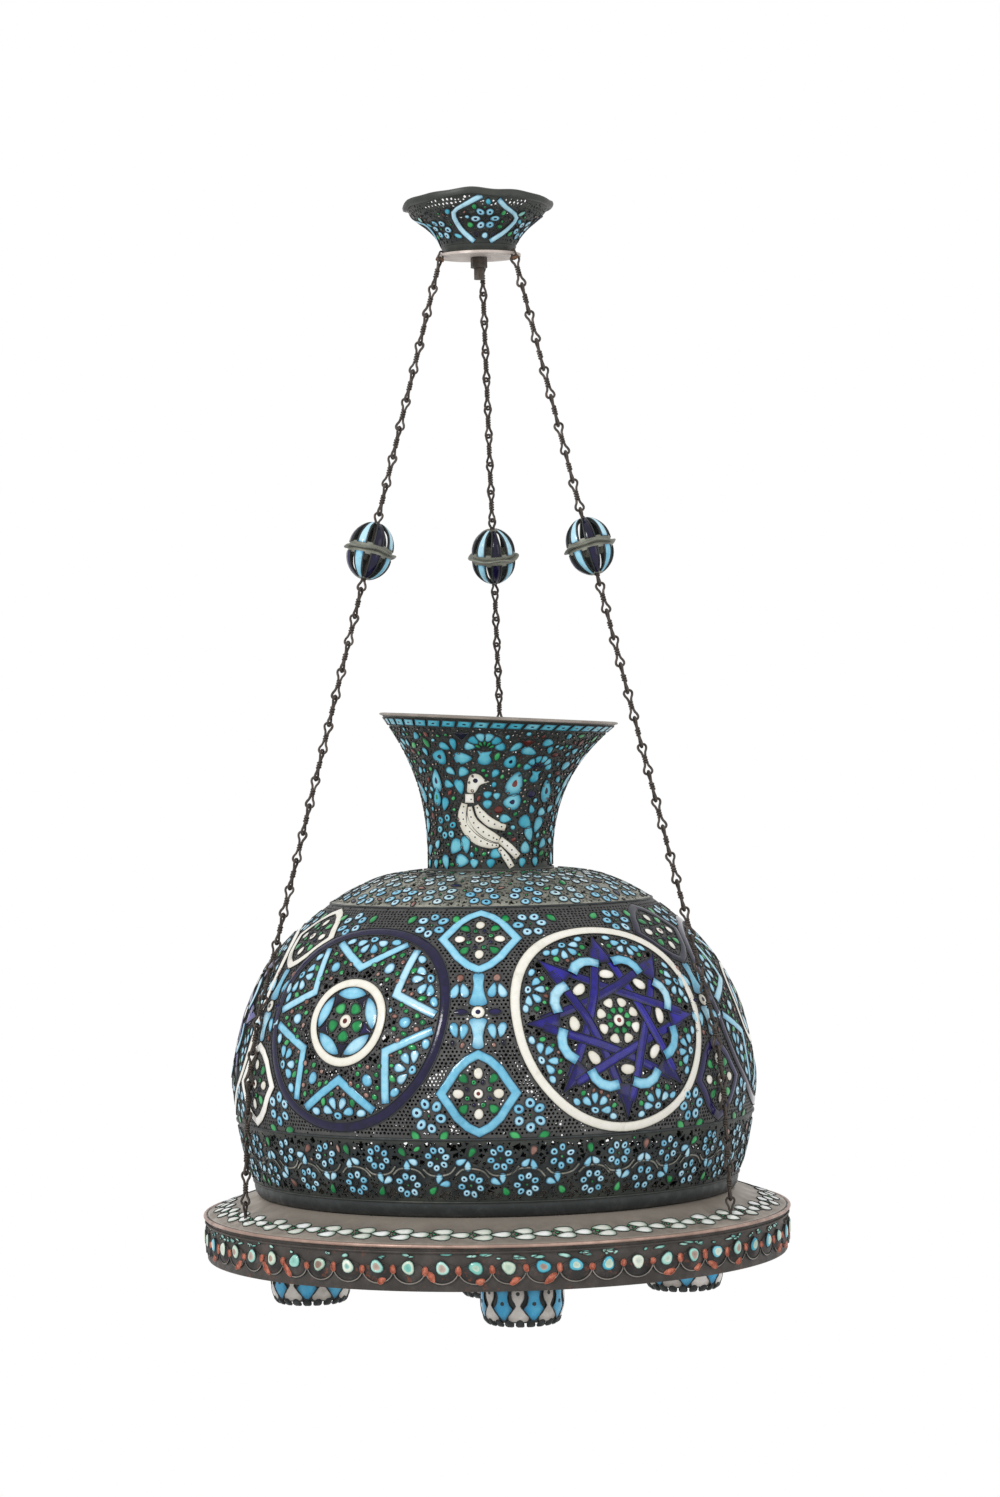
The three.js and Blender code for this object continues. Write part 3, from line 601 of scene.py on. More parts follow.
def addDot(zone, chart, look, size, x=0, y=0):
    dice = zone["dice"]
    outline = oval(size * dice.uniform(0.9, 1.15), size * dice.uniform(0.95, 1.35), 10)
    outline = roughened(outline, 0.05, dice)
    addCell(zone, moved(chart, x, y, dice.uniform(-30, 30)), outline, look)


# A domed spot of enamel on top of other work
def addSpot(zone, chart, radius, look, lift=0.8):
    outline = oval(radius, radius, 10)
    rings = [drawn(chart, outline, lift - 0.3), drawn(chart, outline * 0.8, lift + 0.12)]
    addRings(zone["draft"], rings, [look, look], drawn(chart, [(0, 0)], lift + 0.2)[0])


def alongShares(values, count):
    if np.ndim(values) == 0:
        return np.full(count, float(values))
    return np.interp(np.linspace(0, 1, count), np.linspace(0, 1, len(values)), values)


def eachWay(vectors):
    return vectors / np.maximum(np.linalg.norm(vectors, axis=1), 1e-6)[:, None]


# A strip of enamel between two wires, along a path. Width and lift may change along it.
def addBand(zone, chart, path, width, look, closed=False, lift=0.0, step=4.0, wire=None, dome=None, sink=None):
    wire = cloison["wire"] if wire is None else wire
    dome = cloison["dome"] if dome is None else dome
    sink = cloison["sink"] if sink is None else sink
    line = subdivided(path, step, closed)
    count = len(line)
    if closed:
        before, after = np.roll(line, 1, axis=0), np.roll(line, -1, axis=0)
    else:
        before = np.vstack([2 * line[0] - line[1], line[:-1]])
        after = np.vstack([line[1:], 2 * line[-1] - line[-2]])
    into = eachWay(line - before)
    both = eachWay(into + eachWay(after - line))
    side = np.stack([-both[:, 1], both[:, 0]], axis=1)
    mitre = 1 / np.clip((both * into).sum(axis=1), 0.35, 1)
    half, lifts = alongShares(width, count) / 2, alongShares(lift, count)
    top, glass = cloison["height"], cloison["glass"]
    section = [(1, 0, -sink), (1, 0, top - 0.1), (1, 0.3 * wire, top), (1, wire, top - 0.08),
               (1, wire + 0.1, glass), (0.5, 0, glass + 0.8 * dome), (0, 0, glass + dome)]
    section += [(-share, -inwards, height) for share, inwards, height in section[-2::-1]]
    strips = ["rim"] * 4 + [look] * 4 + ["rim"] * 5
    rows = []
    for share, inwards, height in section:
        offset = side * (mitre * (share * half - inwards))[:, None]
        rows.append(drawn(chart, line - offset, height if height < 0 else height + lifts))
    total = len(rows)
    draft = zone["draft"]
    first = addPoints(draft, np.concatenate(rows) * mm)
    slots = [lookSlot(draft, strip) for strip in strips]
    addWeb(draft, first, total, count, slots, closedColumns=closed)
    if not closed:
        addFace(draft, tuple(first + row * count for row in reversed(range(total))), slots[0])
        addFace(draft, tuple(first + row * count + count - 1 for row in range(total)), slots[0])
    for share in (-1, -0.5, 0, 0.5, 1):
        addCover(zone["cover"], drawn(chart, line + side * (half * share)[:, None], 0))
    if step > 2:
        addCover(zone["cover"], drawn(chart, subdivided(path, 1.6, closed), 0))


# A zone is a part of a surface that becomes one piece
def newZone(surface, seed, name="", start=0, end=360, cover=None):
    return {"name": name, "surface": surface, "draft": newDraft(), "cover": {} if cover is None else cover,
            "dice": random.Random(seed), "start": start, "end": end}


# Sectors of a surface that know of each other's enamel; the seams of the belly and skirt
# lie under the enamel of the dividers
def makeSectors(surface, seed, first=-148.5, names=("front", "right", "back")):
    cover, width = {}, 360 / len(names)
    return [newZone(surface, seed + k, name, first + width * k, first + width * (k + 1), cover)
            for k, name in enumerate(names)]


# Pierced work: holes grow into the room between the enamel, largest first. The pitch is the distance
# from hole to hole, and the margin is the metal left beside a wire.
pierced = {
    "fine": {"pitch": 3.1, "size": 1.17, "jitter": 0.15, "margin": 0.35, "least": 0.6, "sides": 6},
    "huge": {"pitch": 4.4, "size": 4.8, "jitter": 2.2, "margin": 0.6, "least": 2.0, "sides": 3},
    "large": {"pitch": 4.4, "size": 3.4, "jitter": 2.0, "margin": 0.45, "least": 1.4, "sides": 4},
    "middle": {"pitch": 3.0, "size": 2.0, "jitter": 1.2, "margin": 0.4, "least": 0.85, "sides": 3},
    "small": {"pitch": 2.3, "size": 1.2, "jitter": 0.6, "margin": 0.4, "least": 0.5, "sides": 5},
}
flowerHoles = [pierced[name] for name in ("huge", "large", "middle")]


def holeAt(zone, angle, along, size, sides):
    surface, dice = zone["surface"], zone["dice"]
    turn, radius = dice.uniform(0, 6.28), float(radiusAt(surface, along))
    corners = []
    for k in range(sides):
        reach = size * dice.uniform(0.82, 1.12)
        bearing = turn + 2 * math.pi * k / sides
        corners.append((angle + reach * math.cos(bearing) / radius, along + reach * math.sin(bearing)))
    outline = np.array(corners + [(angle, along)])
    addCover(zone["cover"], onSurface(surface, outline[:, 0], outline[:, 1], 0))
    return corners


def piercings(zone, fromAlong, toAlong, kinds):
    surface, dice, cover = zone["surface"], zone["dice"], zone["cover"]
    start, end = math.radians(zone["start"]), math.radians(zone["end"])
    holes = []
    for kind in kinds:
        jitter, margin = kind["jitter"], kind["margin"]
        rows = int((toAlong - fromAlong) / (kind["pitch"] * 0.87))
        for row in range(rows):
            along = fromAlong + (row + 0.5) * (toAlong - fromAlong) / rows
            radius = float(radiusAt(surface, along))
            count = int((end - start) * radius / kind["pitch"])
            for i in range(count):
                across, up = dice.uniform(-1, 1) * jitter, dice.uniform(-1, 1) * jitter
                spot = start + (i + (0.25 if row % 2 else 0.75)) * (end - start) / count + across / radius
                level = along + up
                size = kind["size"] * dice.uniform(0.85, 1.1)
                fromEnds = min(level - fromAlong, toAlong - level)
                if min(fromEnds, (spot - start) * radius, (end - spot) * radius) < size + margin:
                    continue
                if "where" in kind and not kind["where"](spot, level):
                    continue
                free = roomAt(cover, onSurface(surface, spot, level, 0)) - margin
                if free < kind["least"]:
                    continue
                holes.append(holeAt(zone, spot, level, min(size, free), kind["sides"]))
    return holes


# Triangles of a flat outline with holes; the first loop is the outline
def cutOut(loops, more=()):
    points, faces = [], []
    for loop in loops:
        faces.append(list(range(len(points), len(points) + len(loop))))
        points += loop
    result = delaunay_2d_cdt([Vector(point) for point in points + list(more)], [], faces, 1, 1e-4, True)
    flat = np.array([tuple(point) for point in result[0]])
    return flat, [face for face, source in zip(result[2], result[5]) if source == [0]]


def addLayers(draft, outside, inside, triangles, look):
    slot = lookSlot(draft, look)
    upper, lower = addPoints(draft, outside * mm), addPoints(draft, inside * mm)
    edges = set()
    for a, b, c in triangles:
        addFace(draft, (upper + a, upper + b, upper + c), slot)
        addFace(draft, (lower + a, lower + c, lower + b), slot)
        edges.update([(a, b), (b, c), (c, a)])
    for a, b in sorted(edges):
        if (b, a) not in edges:
            addFace(draft, (upper + b, upper + a, lower + a, lower + b), slot)


sheetMetal = {"thickness": 1.2, "grid": 6.0, "edge": 2.5}  # the last two are distances between points


def addSheet(zone, holes, look):
    surface = zone["surface"]
    length = surface["length"]
    start, end = math.radians(zone["start"]), math.radians(zone["end"])
    scale = float(radiusAt(surface, length / 2))
    left, right = start * scale, end * scale
    loops = [[(left, 0), (right, 0), (right, length), (left, length)]]
    loops += [[(angle * scale, along) for angle, along in hole] for hole in holes]
    across, up = int((right - left) / sheetMetal["edge"]), int(length / sheetMetal["edge"])
    more = []
    for i in range(1, across):
        x = left + (right - left) * i / across
        more += [(x, 0), (x, length)]
    for i in range(1, up):
        more += [(left, length * i / up), (right, length * i / up)]
    columns, rows = int((right - left) / sheetMetal["grid"]), int(length / sheetMetal["grid"])
    more += [(left + (right - left) * i / columns, length * j / rows) for i in range(1, columns) for j in range(1, rows)]
    flat, triangles = cutOut(loops, more)
    outside, inside = [onSurface(surface, flat[:, 0] / scale, flat[:, 1], lift)
                       for lift in (0, -sheetMetal["thickness"])]
    addLayers(zone["draft"], outside, inside, triangles, look)


# Pierces the sheet of each sector and makes its piece; the first stands for the solids
def finishSectors(zones, prefix, replaced, look, kinds, low=0.0, high=0.0):
    for zone in zones:
        addSheet(zone, piercings(zone, low, zone["surface"]["length"] - high, kinds), look)
        makeObject(prefix + zone["name"], zone["draft"], "lamp", replaced if zone is zones[0] else ())


# Motifs that come back all over the lamp

def addEye(zone, chart, halfWidth, halfHeight, look="lightBlue", dot="navy"):
    dice = zone["dice"]
    outline = roughened(oval(halfWidth, halfHeight), 0.04, dice)
    addCell(zone, chart, outline, look, dot=dot, dotShare=dice.uniform(0.3, 0.42))


def addFlower(zone, chart, petals, radius, halfWidth, halfHeight, leaves=(), look="lightBlue"):
    dice = zone["dice"]
    first = dice.uniform(0, 60)
    for i in range(petals):
        place = outward(chart, first + 360 * i / petals + dice.uniform(-4, 4), radius * dice.uniform(0.96, 1.05))
        addEye(zone, place, halfWidth * dice.uniform(0.92, 1.06), halfHeight * dice.uniform(0.92, 1.06), look)
    addDot(zone, chart, dice.choice(["green", "green", "navy"]), 1.2)
    for bearing in leaves:
        place = moved(outward(chart, bearing, radius + halfHeight + 5), 0, 0, dice.uniform(60, 110))
        addCut(zone, place, leaf, (3.6, 5.4), "green")


# A fan of petals round a ringed oval, opening towards the chart's foot
def addFan(zone, chart, size=1.0):
    addEye(zone, chart, 4.2 * size, 3.3 * size)
    for bearing in (-158, -115, -65, -22):
        place = outward(chart, bearing + zone["dice"].uniform(-3, 3), 9.8 * size)
        addCut(zone, place, petal, (3.5 * size, 5.2 * size), "lightBlue", 0.03)


# Throws small cells at what room is left, and keeps those that clear the rest
def strewCells(zone, fromAlong, toAlong, tries, shapes, gap=0.8, where=None):
    dice, surface, cover = zone["dice"], zone["surface"], zone["cover"]
    for _ in range(tries):
        along = dice.uniform(fromAlong, toAlong)
        chart = chartAt(surface, dice.uniform(zone["start"], zone["end"]), along, dice.uniform(0, 360))
        form, halfWidth, halfHeight, look, dot = dice.choice(shapes)
        scale = dice.uniform(0.8, 1.15)
        halfWidth, halfHeight = halfWidth * scale, halfHeight * scale
        if min(along - fromAlong, toAlong - along) < halfHeight + 0.6:
            continue
        if where and not where(chart["angle"], along):
            continue
        spread = max(halfHeight - halfWidth, 0)
        centres = drawn(chart, [(0, -spread), (0, 0), (0, spread)], 0)
        if min(roomAt(cover, point) for point in centres) < halfWidth + gap:
            continue
        addCut(zone, chart, form, (halfWidth, halfHeight, 10), look, 0.05, dot=dot, dotShare=0.38)


smallShapes = [
    (leaf, 1.9, 3.4, "green", None), (oval, 1.6, 2.0, "green", None), (oval, 1.3, 1.8, "red", None),
    (petal, 1.9, 3.0, "lightBlue", None), (oval, 1.2, 1.6, "navy", None), (oval, 1.5, 1.5, "green", "navy"),
]
fieldShapes = [
    (leaf, 3.0, 5.2, "green", None), (petal, 2.9, 5.2, "lightBlue", None), (petal, 2.4, 4.4, "lightBlue", None),
    (leaf, 2.2, 4.4, "red", None), (leaf, 2.4, 5.0, "navy", None), (oval, 2.9, 3.3, "lightBlue", "navy"),
    (leaf, 2.2, 3.8, "green", None), (oval, 1.6, 2.0, "red", None), (oval, 1.5, 1.8, "green", None),
]

# Dome: profiles measured up the outside, from the foot band to the foot of the neck
dome = {
    "skirt": [(188, -740.4), (192.5, -728), (196.5, -712), (199.5, -696), (200, -693.2)],
    "belly": [(200, -692.9), (202.5, -668), (200.3, -649), (196.3, -628), (190.3, -607), (179, -584),
              (165, -564), (148.5, -547), (125, -528.2)],
    "crown": [(124.6, -528), (106.6, -517.5), (85, -508.6), (64, -505), (45.5, -503.6)],
    "footBand": [(183.6, -751.7), (185.2, -750.9), (186.9, -748.4), (187.8, -744.6), (188, -740.8),
                 (185, -740.8), (184.8, -744.8), (183.6, -748), (181.4, -751.7)],
    # soldered seams: radius, height and half thickness
    "bellySeam": (200.1, -693.1, 1.1), "footSeam": (188.3, -740.2, 0.9), "crownSeam": (124.8, -527.9, 1.0),
    # places in the belly's sixths, each between two dividers: turn and distance along the profile
    "chevronTurn": 27.8, "starTurn": 31.4, "dividerTurn": -0.7, "chevronAlong": 86, "starAlong": 83.6,
    "lowFrame": 33.6, "highFrame": 156.6, "balusterAlong": 93.5,
    "medallionRadius": 82.5, "ringWidth": 7.8, "bandWidth": 7.2,
    "frameLooks": ("white", "lightBlue", "navy", "white", "lightBlue", "navy"),
}
chevronStar = [(-5.8, -3.4), (0, -2.4), (5.8, -3.4), (2.6, 1.6), (0, 7.6), (-2.6, 1.6)]
chevronLens = [(12.2, -0.8), (7.5, 3.2), (0, 4.9), (-7.5, 3.2), (-12.2, -0.8), (-7, -3.6), (0, -5), (7, -3.6)]
chevronDots = [(-8.6, 0, "green"), (8.6, 0, "green"), (-5, 8.8, "green"), (5.2, 9.4, "red"), (0, 13.8, "green"),
               (-4.6, -8.6, "red"), (5, -8.2, "green"), (-13.4, -4.5, "green"), (13.4, -4.5, "red")]


def addMedallionRing(zone, chart, look):
    ring = dome["ringWidth"]
    addBand(zone, chart, circle(dome["medallionRadius"] - ring / 2), ring, look, closed=True)


# Six light-blue chevrons round a white ring, with a five-pointed star inside it
def addChevronMedallion(zone, chart):
    dice = zone["dice"]
    addMedallionRing(zone, chart, "navy")
    addBand(zone, chart, circle(30.6, 48), 7.4, "white", closed=True)
    for tip in range(0, 360, 60):
        bay = tip + 30
        chevron = [polar(72.4, tip + 4.6), polar(43.5, bay), polar(72.4, tip + 55.4)]
        addBand(zone, chart, chevron, dome["bandWidth"], "lightBlue")
        addFan(zone, outward(chart, bay, 70))
        for side in (-1, 1):
            addCut(zone, outward(chart, bay + 17 * side, 70.4), oval, (4.6, 3.4), "lightBlue", 0.05)
            addCut(zone, outward(chart, bay + 12.5 * side, 61.5), leaf, (2.8, 4.2), "green", 0.05)
            addDot(zone, outward(chart, bay + 6 * side, 54.5), dice.choice(["red", "green"]), 2.0)
        addDot(zone, outward(chart, bay, 49.6), "red", 1.7)
        inner = outward(chart, tip, 50)
        addCut(zone, inner, oval, (4.5, 5.2), "lightBlue")
        for x, y, look in chevronDots:
            addDot(zone, inner, look, 2.3, x, y)
    lens = 1.08 * smoothLine(chevronLens, 2, closed=True)
    for i in range(5):
        addCell(zone, outward(chart, 90 + 72 * i, 22), lens, "lightBlue")
        addCell(zone, outward(chart, 54 + 72 * i, 19.4), chevronStar, "navy", wire=0.35)
        addCut(zone, outward(chart, 54 + 72 * i, 11.2), petal, (5.2, 5.0), "green", 0.03)
    addCell(zone, chart, oval(5.6, 5.6, 16), "white", dot="darkRed")


starSpear = [(0, -11.5), (8.8, -11.5), (6.2, -3), (3.4, 5), (0, 15), (-3.4, 5), (-6.2, -3), (-8.8, -11.5)]
starArc = ((45.6, 6), (49, 13), (50.8, 20), (50.4, 28), (47.6, 36))  # radius and angle from the tip


# A navy star of eight plaited bands with light-blue arcs between its points
def addStarMedallion(zone, chart):
    dice = zone["dice"]
    addMedallionRing(zone, chart, "white")
    for tip in range(-90, 270, 45):
        path = [polar(60, tip + 2.6), polar(27.5, tip + 33), polar(27.5, tip + 102), polar(60, tip + 132.4)]
        addBand(zone, chart, path, 7.4, "royal", lift=[0.8, 0.9, 0.8, 0.2, 0, 0])
        addCell(zone, outward(chart, tip, 58), starSpear, "royal", lift=0.6)
        addBand(zone, chart, [polar(radius, tip + turn) for radius, turn in starArc], 8.2, "lightBlue", lift=1.5)
        addCut(zone, outward(chart, tip + 2, 36.5), oval, (6.4, 4.3, 14), "white", 0.06, lift=1.2)
        between = tip + 22.5
        bay = outward(chart, between, 70)
        addFan(zone, bay, 0.9)
        for side in (-1, 1):
            addCut(zone, outward(chart, between + 12.8 * side, 71), oval, (3.8, 2.9), "lightBlue", 0.05)
            addDot(zone, outward(chart, between + 12 * side, 63), "green", 2.6)
            addDot(zone, outward(chart, between + 6 * side, 57.4), dice.choice(["green", "red"]), 2.0)
        addDot(zone, bay, "red", 1.9, 0, -14.2)
        addCut(zone, outward(chart, between, 14.2), petal, (4.3, 4.3), "white", 0.03)
        addCell(zone, outward(chart, between, 8), petal(2.8, 3.0, 10), "green", wire=0.3)
    addCell(zone, chart, oval(5, 5, 16), "white", dot="darkRed", dotShare=0.42)


frameCorners = [(27.7, 0), (21.2, 9), (15.8, 17.4), (8.2, 24.4)]  # up the right side
frameTop = 28.6


# Bulged diamond frame with four white ovals, leaves and ringed dots
def addDiamondFrame(zone, chart, look):
    upper = frameCorners + [(0, frameTop)] + [(-x, y) for x, y in frameCorners[::-1]]
    addBand(zone, chart, upper + [(x, -y) for x, y in upper[-2:0:-1]], dome["bandWidth"], look, closed=True)
    for i in range(4):
        addCut(zone, outward(chart, 90 * i, 14.8), oval, (3.9, 4.5), "white", 0.03)
        addCut(zone, outward(chart, 45 + 90 * i, 15.2), petal, (3.6, 4.6), "green")
        addEye(zone, outward(chart, 22 + 90 * i, 8.8), 2.3, 2.3, "green", "navy")
        addDot(zone, outward(chart, 68 + 90 * i, 8.8), "navy", 1.7)
    addCell(zone, chart, oval(4, 4), "white", dot="darkRed", dotShare=0.42)


balusterHalf = mirrored([(0, 4.2), (6.9, 6.5), (5.2, 14), (4.0, 22), (4.6, 30), (0, 32.5)])
balusterCells = [  # across, up, turn, outline, its size, enamel and unevenness
    (10.4, 17.5, -14, drop, (3.5, 6.6), "lightBlue", 0.03), (17.2, 17, 16, drop, (3.5, 6.6), "lightBlue", 0.03),
    (13.5, 27.5, 0, oval, (3.4, 3.6), "red", 0.05), (10.6, -14.5, 12, petal, (3.5, 6.2), "lightBlue", 0.03),
    (17.4, -13.5, -16, petal, (3.5, 6.2), "lightBlue", 0.03),
]


# Divider between two medallions: two frames, a baluster and flowers
def addDivider(zone, angle, look):
    surface = zone["surface"]
    low, high, middle = [chartAt(surface, angle, dome[name]) for name in ("lowFrame", "highFrame", "balusterAlong")]
    addDiamondFrame(zone, low, look)
    addDiamondFrame(zone, high, look)
    addCell(zone, middle, balusterHalf, "lightBlue")
    addCell(zone, moved(middle, 0, 0, 180), balusterHalf * (1, 0.86), "lightBlue")
    addCell(zone, middle, oval(5.4, 5.2, 14), "white", dot="navy", lift=0.3)
    for side in (-1, 1):
        addCut(zone, moved(middle, 12.4 * side, 0.3, 90), leaf, (2.9, 5.6), "navy", 0.03)
        for across, up, turn, form, size, tone, rough in balusterCells:
            addCut(zone, moved(middle, across * side, up, turn * side), form, size, tone, rough)
        addDot(zone, middle, "red", 2.3, 11.5 * side, -24.5)
        addDot(zone, middle, "navy", 2.1, 18.5 * side, -23)
        for frameChart, up, leaves in ((low, -16, (-125, -55)), (high, 15, (160, 20))):
            addFlower(zone, moved(frameChart, 37 * side, up), 6, 9.0, 4.1, 4.6, leaves)


def insideMedallion(surface, start):
    reach = dome["medallionRadius"] - dome["ringWidth"]
    centres = [(start + dome["chevronTurn"], dome["chevronAlong"]),
               (start + 60 + dome["starTurn"], dome["starAlong"])]

    def test(angle, along):
        for turn, middle in centres:
            away = (math.degrees(angle) - turn + 60) % 120 - 60
            if math.hypot(math.radians(away) * float(radiusAt(surface, along)), along - middle) < reach:
                return True
        return False
    return test


def makeBelly():
    surface = turnedSurface(dome["belly"])
    names = [side + "_" + star for side in ("front", "right", "back") for star in ("chevrons", "star")]
    zones = makeSectors(surface, 11, names=names)
    inside = insideMedallion(surface, zones[0]["start"])
    for k, zone in enumerate(zones):
        if k % 2:
            addStarMedallion(zone, chartAt(surface, zone["start"] + dome["starTurn"], dome["starAlong"]))
        else:
            addChevronMedallion(zone, chartAt(surface, zone["start"] + dome["chevronTurn"], dome["chevronAlong"]))
        addDivider(zone, zone["start"] + dome["dividerTurn"], dome["frameLooks"][k])
    for zone in zones:
        strewCells(zone, 0, surface["length"], 260, smallShapes, where=inside)
    kinds = [dict(pierced["large"], where=inside), dict(pierced["middle"], where=inside),
             dict(pierced["fine"], where=lambda angle, along: not inside(angle, along)),
             dict(pierced["small"], where=inside)]
    finishSectors(zones, "dome_belly_", ("dome_belly", "dome_shoulder"), "sheet", kinds)


def makeSkirt():
    surface = turnedSurface(dome["skirt"])
    zones = makeSectors(surface, 31)
    for zone in zones:
        dice = zone["dice"]
        for i in range(18):
            up = -1 if i % 2 else 1
            chart = chartAt(surface, zone["start"] + 3.3 + 6.667 * i + dice.uniform(-0.7, 0.7), 24.4 - 10.3 * up)
            addFlower(zone, chart, dice.choice([6, 7, 7]), 6.9, 3.0, 3.4)
            vine = [(-11, 8 * up), (-6, 12.4 * up), (2, 13 * up), (9, 11 * up), (13.4, 6 * up)]
            addBand(zone, chart, smoothLine(vine, 3), 2.2, "wornSheet", wire=0.4, dome=0.1)
            spray = moved(chart, 22.7, 0, dice.uniform(-50, 50) + 90 - 90 * up)
            tones = ("lightBlue", "lightBlue", dice.choice(["green", "green", "red"]))
            for bearing, look in zip((58, 122, -90), tones):
                addCut(zone, outward(spray, bearing, 5.4), petal, (2.9, 4.6), look)
    for zone in zones:
        strewCells(zone, 0, surface["length"], 120, fieldShapes, gap=1.0)
    addTurned(zones[0]["draft"], roundWire(*dome["bellySeam"]), "rim")
    addTurned(zones[0]["draft"], roundWire(*dome["footSeam"]), "foot")
    finishSectors(zones, "dome_skirt_", ["dome_skirt"], "foot", flowerHoles)


def makeCrown():
    surface = turnedSurface(dome["crown"])
    zones = makeSectors(surface, 51)
    plainTop = 6  # bare collar round the neck's foot
    for zone in zones:
        dice = zone["dice"]
        for i in range(7):
            chart = chartAt(surface, zone["start"] + 8 + 17.1 * i, 16 + dice.uniform(-2, 2))
            addFlower(zone, chart, 6, 9.2, 4.1, 4.5, look=dice.choice(["lightBlue", "paleBlue"]))
        for i in range(5):
            chart = chartAt(surface, zone["start"] + 12 + 24 * i, 42 + dice.uniform(-2, 2))
            addFlower(zone, chart, 6, 8.8, 3.9, 4.3, look="paleBlue")
    worn = [(form, w, h, "paleBlue" if look == "lightBlue" else look, dot) for form, w, h, look, dot in fieldShapes]
    for zone in zones:
        strewCells(zone, 0, surface["length"] - plainTop, 500, worn + fieldShapes, gap=1.0)
    addTurned(zones[0]["draft"], roundWire(*dome["crownSeam"]), "rim")
    finishSectors(zones, "dome_crown_", ["dome_crown"], "wornSheet", flowerHoles, 1, plainTop)


# A piece that is one turned loop of metal
def makeTurned(name, loop, look, body, node, facets=180, warp=None):
    draft = newDraft()
    addTurned(draft, loop, look, facets, warp)
    makeObject(name, draft, body, [node])


makeBelly()
makeSkirt()
makeCrown()
makeTurned("dome_foot_band", dome["footBand"], "rim", "lamp", "dome_foot")
print("dome made")

# Neck: a trumpet whose mouth has sagged and leans to one side
neck = {
    "foot": 48, "mouth": 90.5, "bottom": -503.1, "top": -388.2, "flare": 2.6, "sag": -0.06, "lean": 8.5,
    "facing": -85.8,  # angle of the middle of the pictures on the front
    "collar": [(49.6, -503.3), (49.2, -502), (46.6, -502), (46.4, -503.3)],
    "lip": [(91.2, -388.1), (92.6, -387.5), (92.8, -386.8), (92.0, -386.2), (89.8, -385.9), (88.6, -386.8),
            (89.0, -388.0)],
    "border": 14, "slanted": [(-7.0, -3.4), (4.6, -3.4), (7.0, 3.4), (-4.6, 3.4)],
}


def neckWarp(x, y, z):
    share = np.clip((z - neck["bottom"]) / (neck["top"] - neck["bottom"]), 0, 1)
    return neck["lean"] * share ** 2, neck["sag"] * x * share ** 2


def neckRadius(height):
    share = (height - neck["bottom"]) / (neck["top"] - neck["bottom"])
    return neck["foot"] + (neck["mouth"] - neck["foot"]) * max(share, 0) ** neck["flare"]


# The angle from the middle at which a place is seen at a distance across, on a round of this radius
def seenBearing(across, radius):
    return math.degrees(math.asin(max(-0.99, min(0.99, across / radius))))


# Place on the neck seen from the front: across from the middle, and height
def neckChart(zone, across, height, turn=0.0):
    surface = zone["surface"]
    bearing = neck["facing"] + zone["turned"] + seenBearing(across, neckRadius(height))
    return chartAt(surface, bearing, alongAt(surface, height), turn)


# A band through places as they are seen from the front
def addSeenBand(zone, seen, points, width, look):
    charts = [seen(zone, across, height) for across, height in points]
    first = charts[0]
    reach = float(radiusAt(zone["surface"], charts[len(charts) // 2]["along"]))
    path = [((chart["angle"] - first["angle"]) * reach, chart["along"] - first["along"]) for chart in charts]
    addBand(zone, first, smoothLine(path, 3), width, look)


# Fan of petals with coloured wedges between them, over a vase
def addPalmette(zone, across, height, reach, wedge, wide, tall):
    chart = neckChart(zone, across, height)
    for bearing in range(15, 180, 30):
        addCut(zone, outward(chart, bearing, reach), petal, (0.35 * reach, 0.4 * reach), "turquoise")
    for bearing in range(30, 180, 30):
        addCell(zone, outward(chart, bearing, 0.5 * reach), petal(0.12 * reach, 0.24 * reach, 8), wedge, wire=0.25)
    vase = mirrored([(0, -tall), (0.72 * wide, -0.8 * tall), (0.9 * wide, -0.2 * tall), (0.66 * wide, 0.3 * tall),
                     (wide, 0.95 * tall), (0, 0.8 * tall)], 2)
    addCell(zone, moved(chart, 0, -tall), vase, "turquoise")


birdHead = [(0, 6.5), (-4.8, 4.6), (-6.6, 0), (-7.2, -5), (-7.0, -10), (-1.2, -10.8), (1.6, -7.8), (3.4, -4.4),
            (6.8, -2.8), (11.5, -0.9), (7, 1.6), (4.6, 4.7)]
birdCollar = [(-4.2, -4.2), (4, -4.4), (3.8, 4.0), (-3.8, 3.8)]
birdStrips = [  # places along the middle of each strip, and its width from end to end
    ([(-20.6, -451.5), (-21.8, -461), (-17.8, -471), (-9.6, -479.5), (0, -483.6), (6, -484)],
     [6, 9.2, 9.8, 9.2, 6.6, 4]),
    ([(-16.4, -454), (-14.6, -464.5), (-7.6, -472), (1, -477.6), (6, -480)], [4.6, 8.8, 9.6, 9, 6.4]),
    ([(-11.6, -453), (-7.4, -460), (0.2, -466.6), (10.8, -470.6)], [4.4, 8, 8.4, 6]),
    ([(7, -479.6), (14.6, -486), (20.8, -493)], [6.4, 7.2, 7]),
    ([(6.6, -486), (12, -493.5), (16.2, -501)], [4.6, 6.2, 6]),
]


def addBird(zone):
    head = neckChart(zone, -13.2, -434)
    addCell(zone, head, smoothLine(birdHead, 2, closed=True), "white", dome=0.3)
    addSpot(zone, head, 2.2, "navy")
    collar = neckChart(zone, -17.0, -447.4)
    addCell(zone, collar, subdivided(birdCollar, 2, True), "white", dome=0.3)
    addSpot(zone, moved(collar, 1.4, -1), 0.7, "rim", 0.7)
    for points, widths in birdStrips:
        addSeenBand(zone, neckChart, points, widths, "white")
        for (fromX, fromY), (toX, toY) in zip(points[:-1], points[1:]):
            for share in (0.25, 0.75):
                place = neckChart(zone, fromX + (toX - fromX) * share, fromY + (toY - fromY) * share)
                addSpot(zone, place, 0.75, zone["dice"].choice(["rim", "rim", "navy"]), 0.9)


